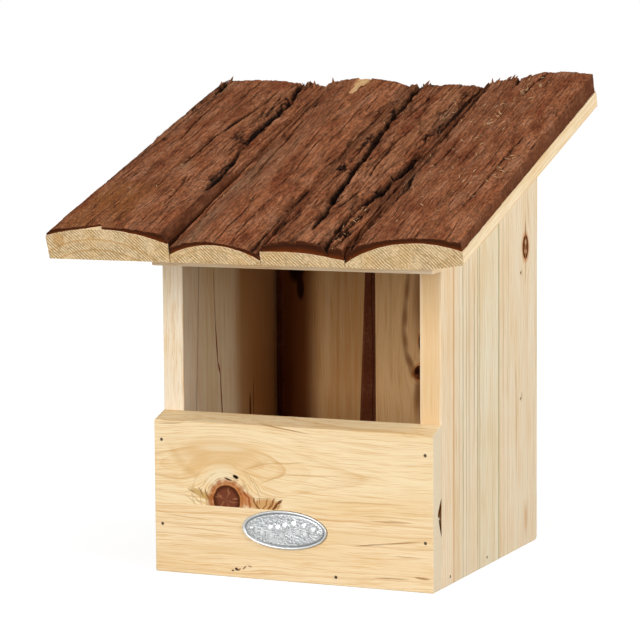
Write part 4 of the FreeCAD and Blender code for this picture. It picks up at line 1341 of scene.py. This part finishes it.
coat("back_board_right", pine(
    "planed_pine_back_board_right", "Z", "X", pith=(48.0, 150.0), spacing=4.0, wander=3.0,
    inside=(back_inside, "#e2c59e"), contrast=0.35,
    knots=[(0, 96.5, 22.0, 4.0, 3.2, 1.7, "#5a3020", "#2a140c"),
           (0, 114.0, 23.9, 6.0, 2.2, 1.6, "#5a3020", "#2a140c")],
    washes=[
        (0, 138, 23.5, 36, 8.0, 0, "#8a5830", 0.75, 0.8),
        (0, 84, 24.5, 26, 7.0, 3, "#6a3a1c", 0.8, 0.8),
    ],
    marks=curved_grain + [
        (0, 84, 20.5, 13, 3.0, 4, "#7a4a26", 0.6, 0.8),
        (0, 102, 17.5, 8, 1.8, -20, "#7a4a26", 0.6, 0.8),
        (0, 97, 21.0, 3.0, 2.0, 30, "#2a120a", 0.9, 0.6),
        (0, 140, 5.0, 60, 1.2, 0.5, "#b98c58", 0.4, 0.9),
    ]))

# Lintel and floor
coat("front_lintel", pine(
    "planed_pine_lintel", "X", "Z", pith=(120.0, 10.0), spacing=2.4, wander=0.8, contrast=0.6,
    tints=("#fffaf2",)))
coat("floor_board", pine(
    "planed_pine_floor", "X", "Y", pith=(70.0, 40.0), spacing=3.0, joints=(66.0,), wander=1.6,
    tints=("#f8eedb", "#fbf2e2")))

# Roof slabs, whose rings bow up under the bark
SAW = (math.radians(44), 1.4)
HONEY_STREAK = (0, 0, -108, 10.8, (400, 4.4, 4.6), 0, "#cf9650", 0.55, 0.4)
# The rings' pith, spacing and contrast, and whether the left and the right edge face a gap and take painted
# shade
SLAB_RINGS = (
    ((-86.0, -46.0), 2.9, 1.0, (False, True)),
    ((-22.0, -24.0), 2.3, 1.0, (True, True)),
    ((24.0, -90.0), 2.0, 0.9, (True, True)),
    ((90.0, -26.0), 2.2, 0.5, (True, False)),
)
for i, (pith, spacing, contrast, stains) in enumerate(SLAB_RINGS):
    name = f"roof_slab_{i + 1}"
    edges = [corner.x / MM for corner, stain in zip(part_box(name), stains) if stain]
    coat(name, pine(f"sawn_pine_slab_{i + 1}", "Y", "X", pith=pith, spacing=spacing, wander=1.2,
                    contrast=contrast, tints=("#fff8e8",), saw=SAW, shaded_edges=edges, on_roof=True,
                    pockets=[HONEY_STREAK] if i == 0 else []))

# Bark, and what is strewn on it
outside = bark_outside("pine_bark")
cut = bark_cut("sawn_pine_bark")
coat("back_board_bark", bark_outside("shaded_pine_bark", "#643420"))
bast = pale_bast("pale_bast_fibre")
strewn_pieces = (
    ("bark_flakes", strewn("bark_flakes", "flaky", outside, 5),
     (60000.0, 8 * MM, 0.26, 0.08, 0.04, 0.14, 0.25)),
    ("rear_splinters", strewn("rear_splinters", "splinter", outside, 7),
     (200000.0, 8.5 * MM, 0.2, 0.1, 0.04, 0.9, 0.6)),
    ("bast_fibres", strewn("bast_fibres", "speck", bast, 9),
     (70000.0, 4.5 * MM, 0.08, 0.05, 0.16, 0.3, 1.6)),
)
for i, slab in enumerate(SLABS):
    guide = bark_piece(i + 1, slab, (outside, cut))
    for name, tree, sizes in strewn_pieces:
        piece = grown(f"{name}_{i + 1}", guide.copy(), tree, dict(zip(STREWN_SIZES, sizes)))
        settle(piece, "bark")

# Nails, hanger and label plate
steel = metal("dulled_nail_steel", "#5a4c40", "#33241a", 0.6, 0.3)
rust = metal("rusted_nail_steel", "#6b4530", "#43281a", 0.8, 0.3)
aluminium = metal("pressed_aluminium", "#b9bbbb", "#a2a5a6", 0.36, 0.35)
zinc = metal("zinc_plated_steel", "#c3c7c6", "#9fa3a0", 0.34, 0.6)
for name in ("front_board", "front_floor", "lintel", "left_floor", "right_floor", "left_back", "right_back"):
    coat(f"{name}_nails", steel)
coat("roof_nails", rust)
coat("plate_pins", aluminium)
coat("hanger_plate", zinc)
coat("hanger_screws", zinc)

field = bpy.data.meshes.new("plate_field")
field.from_pydata([pressed_plate(aluminium)], [], [])
sprig_sizes = (27 * MM, 4.5 * MM, 0.32 * MM, 5.4 * MM, 0.46, 0.14)
leaves = grown("leaf_sprig", field, sprig("leaf_sprig", aluminium, 12), dict(zip(SPRIG_SIZES, sprig_sizes)))
settle(leaves, "plate_metal")
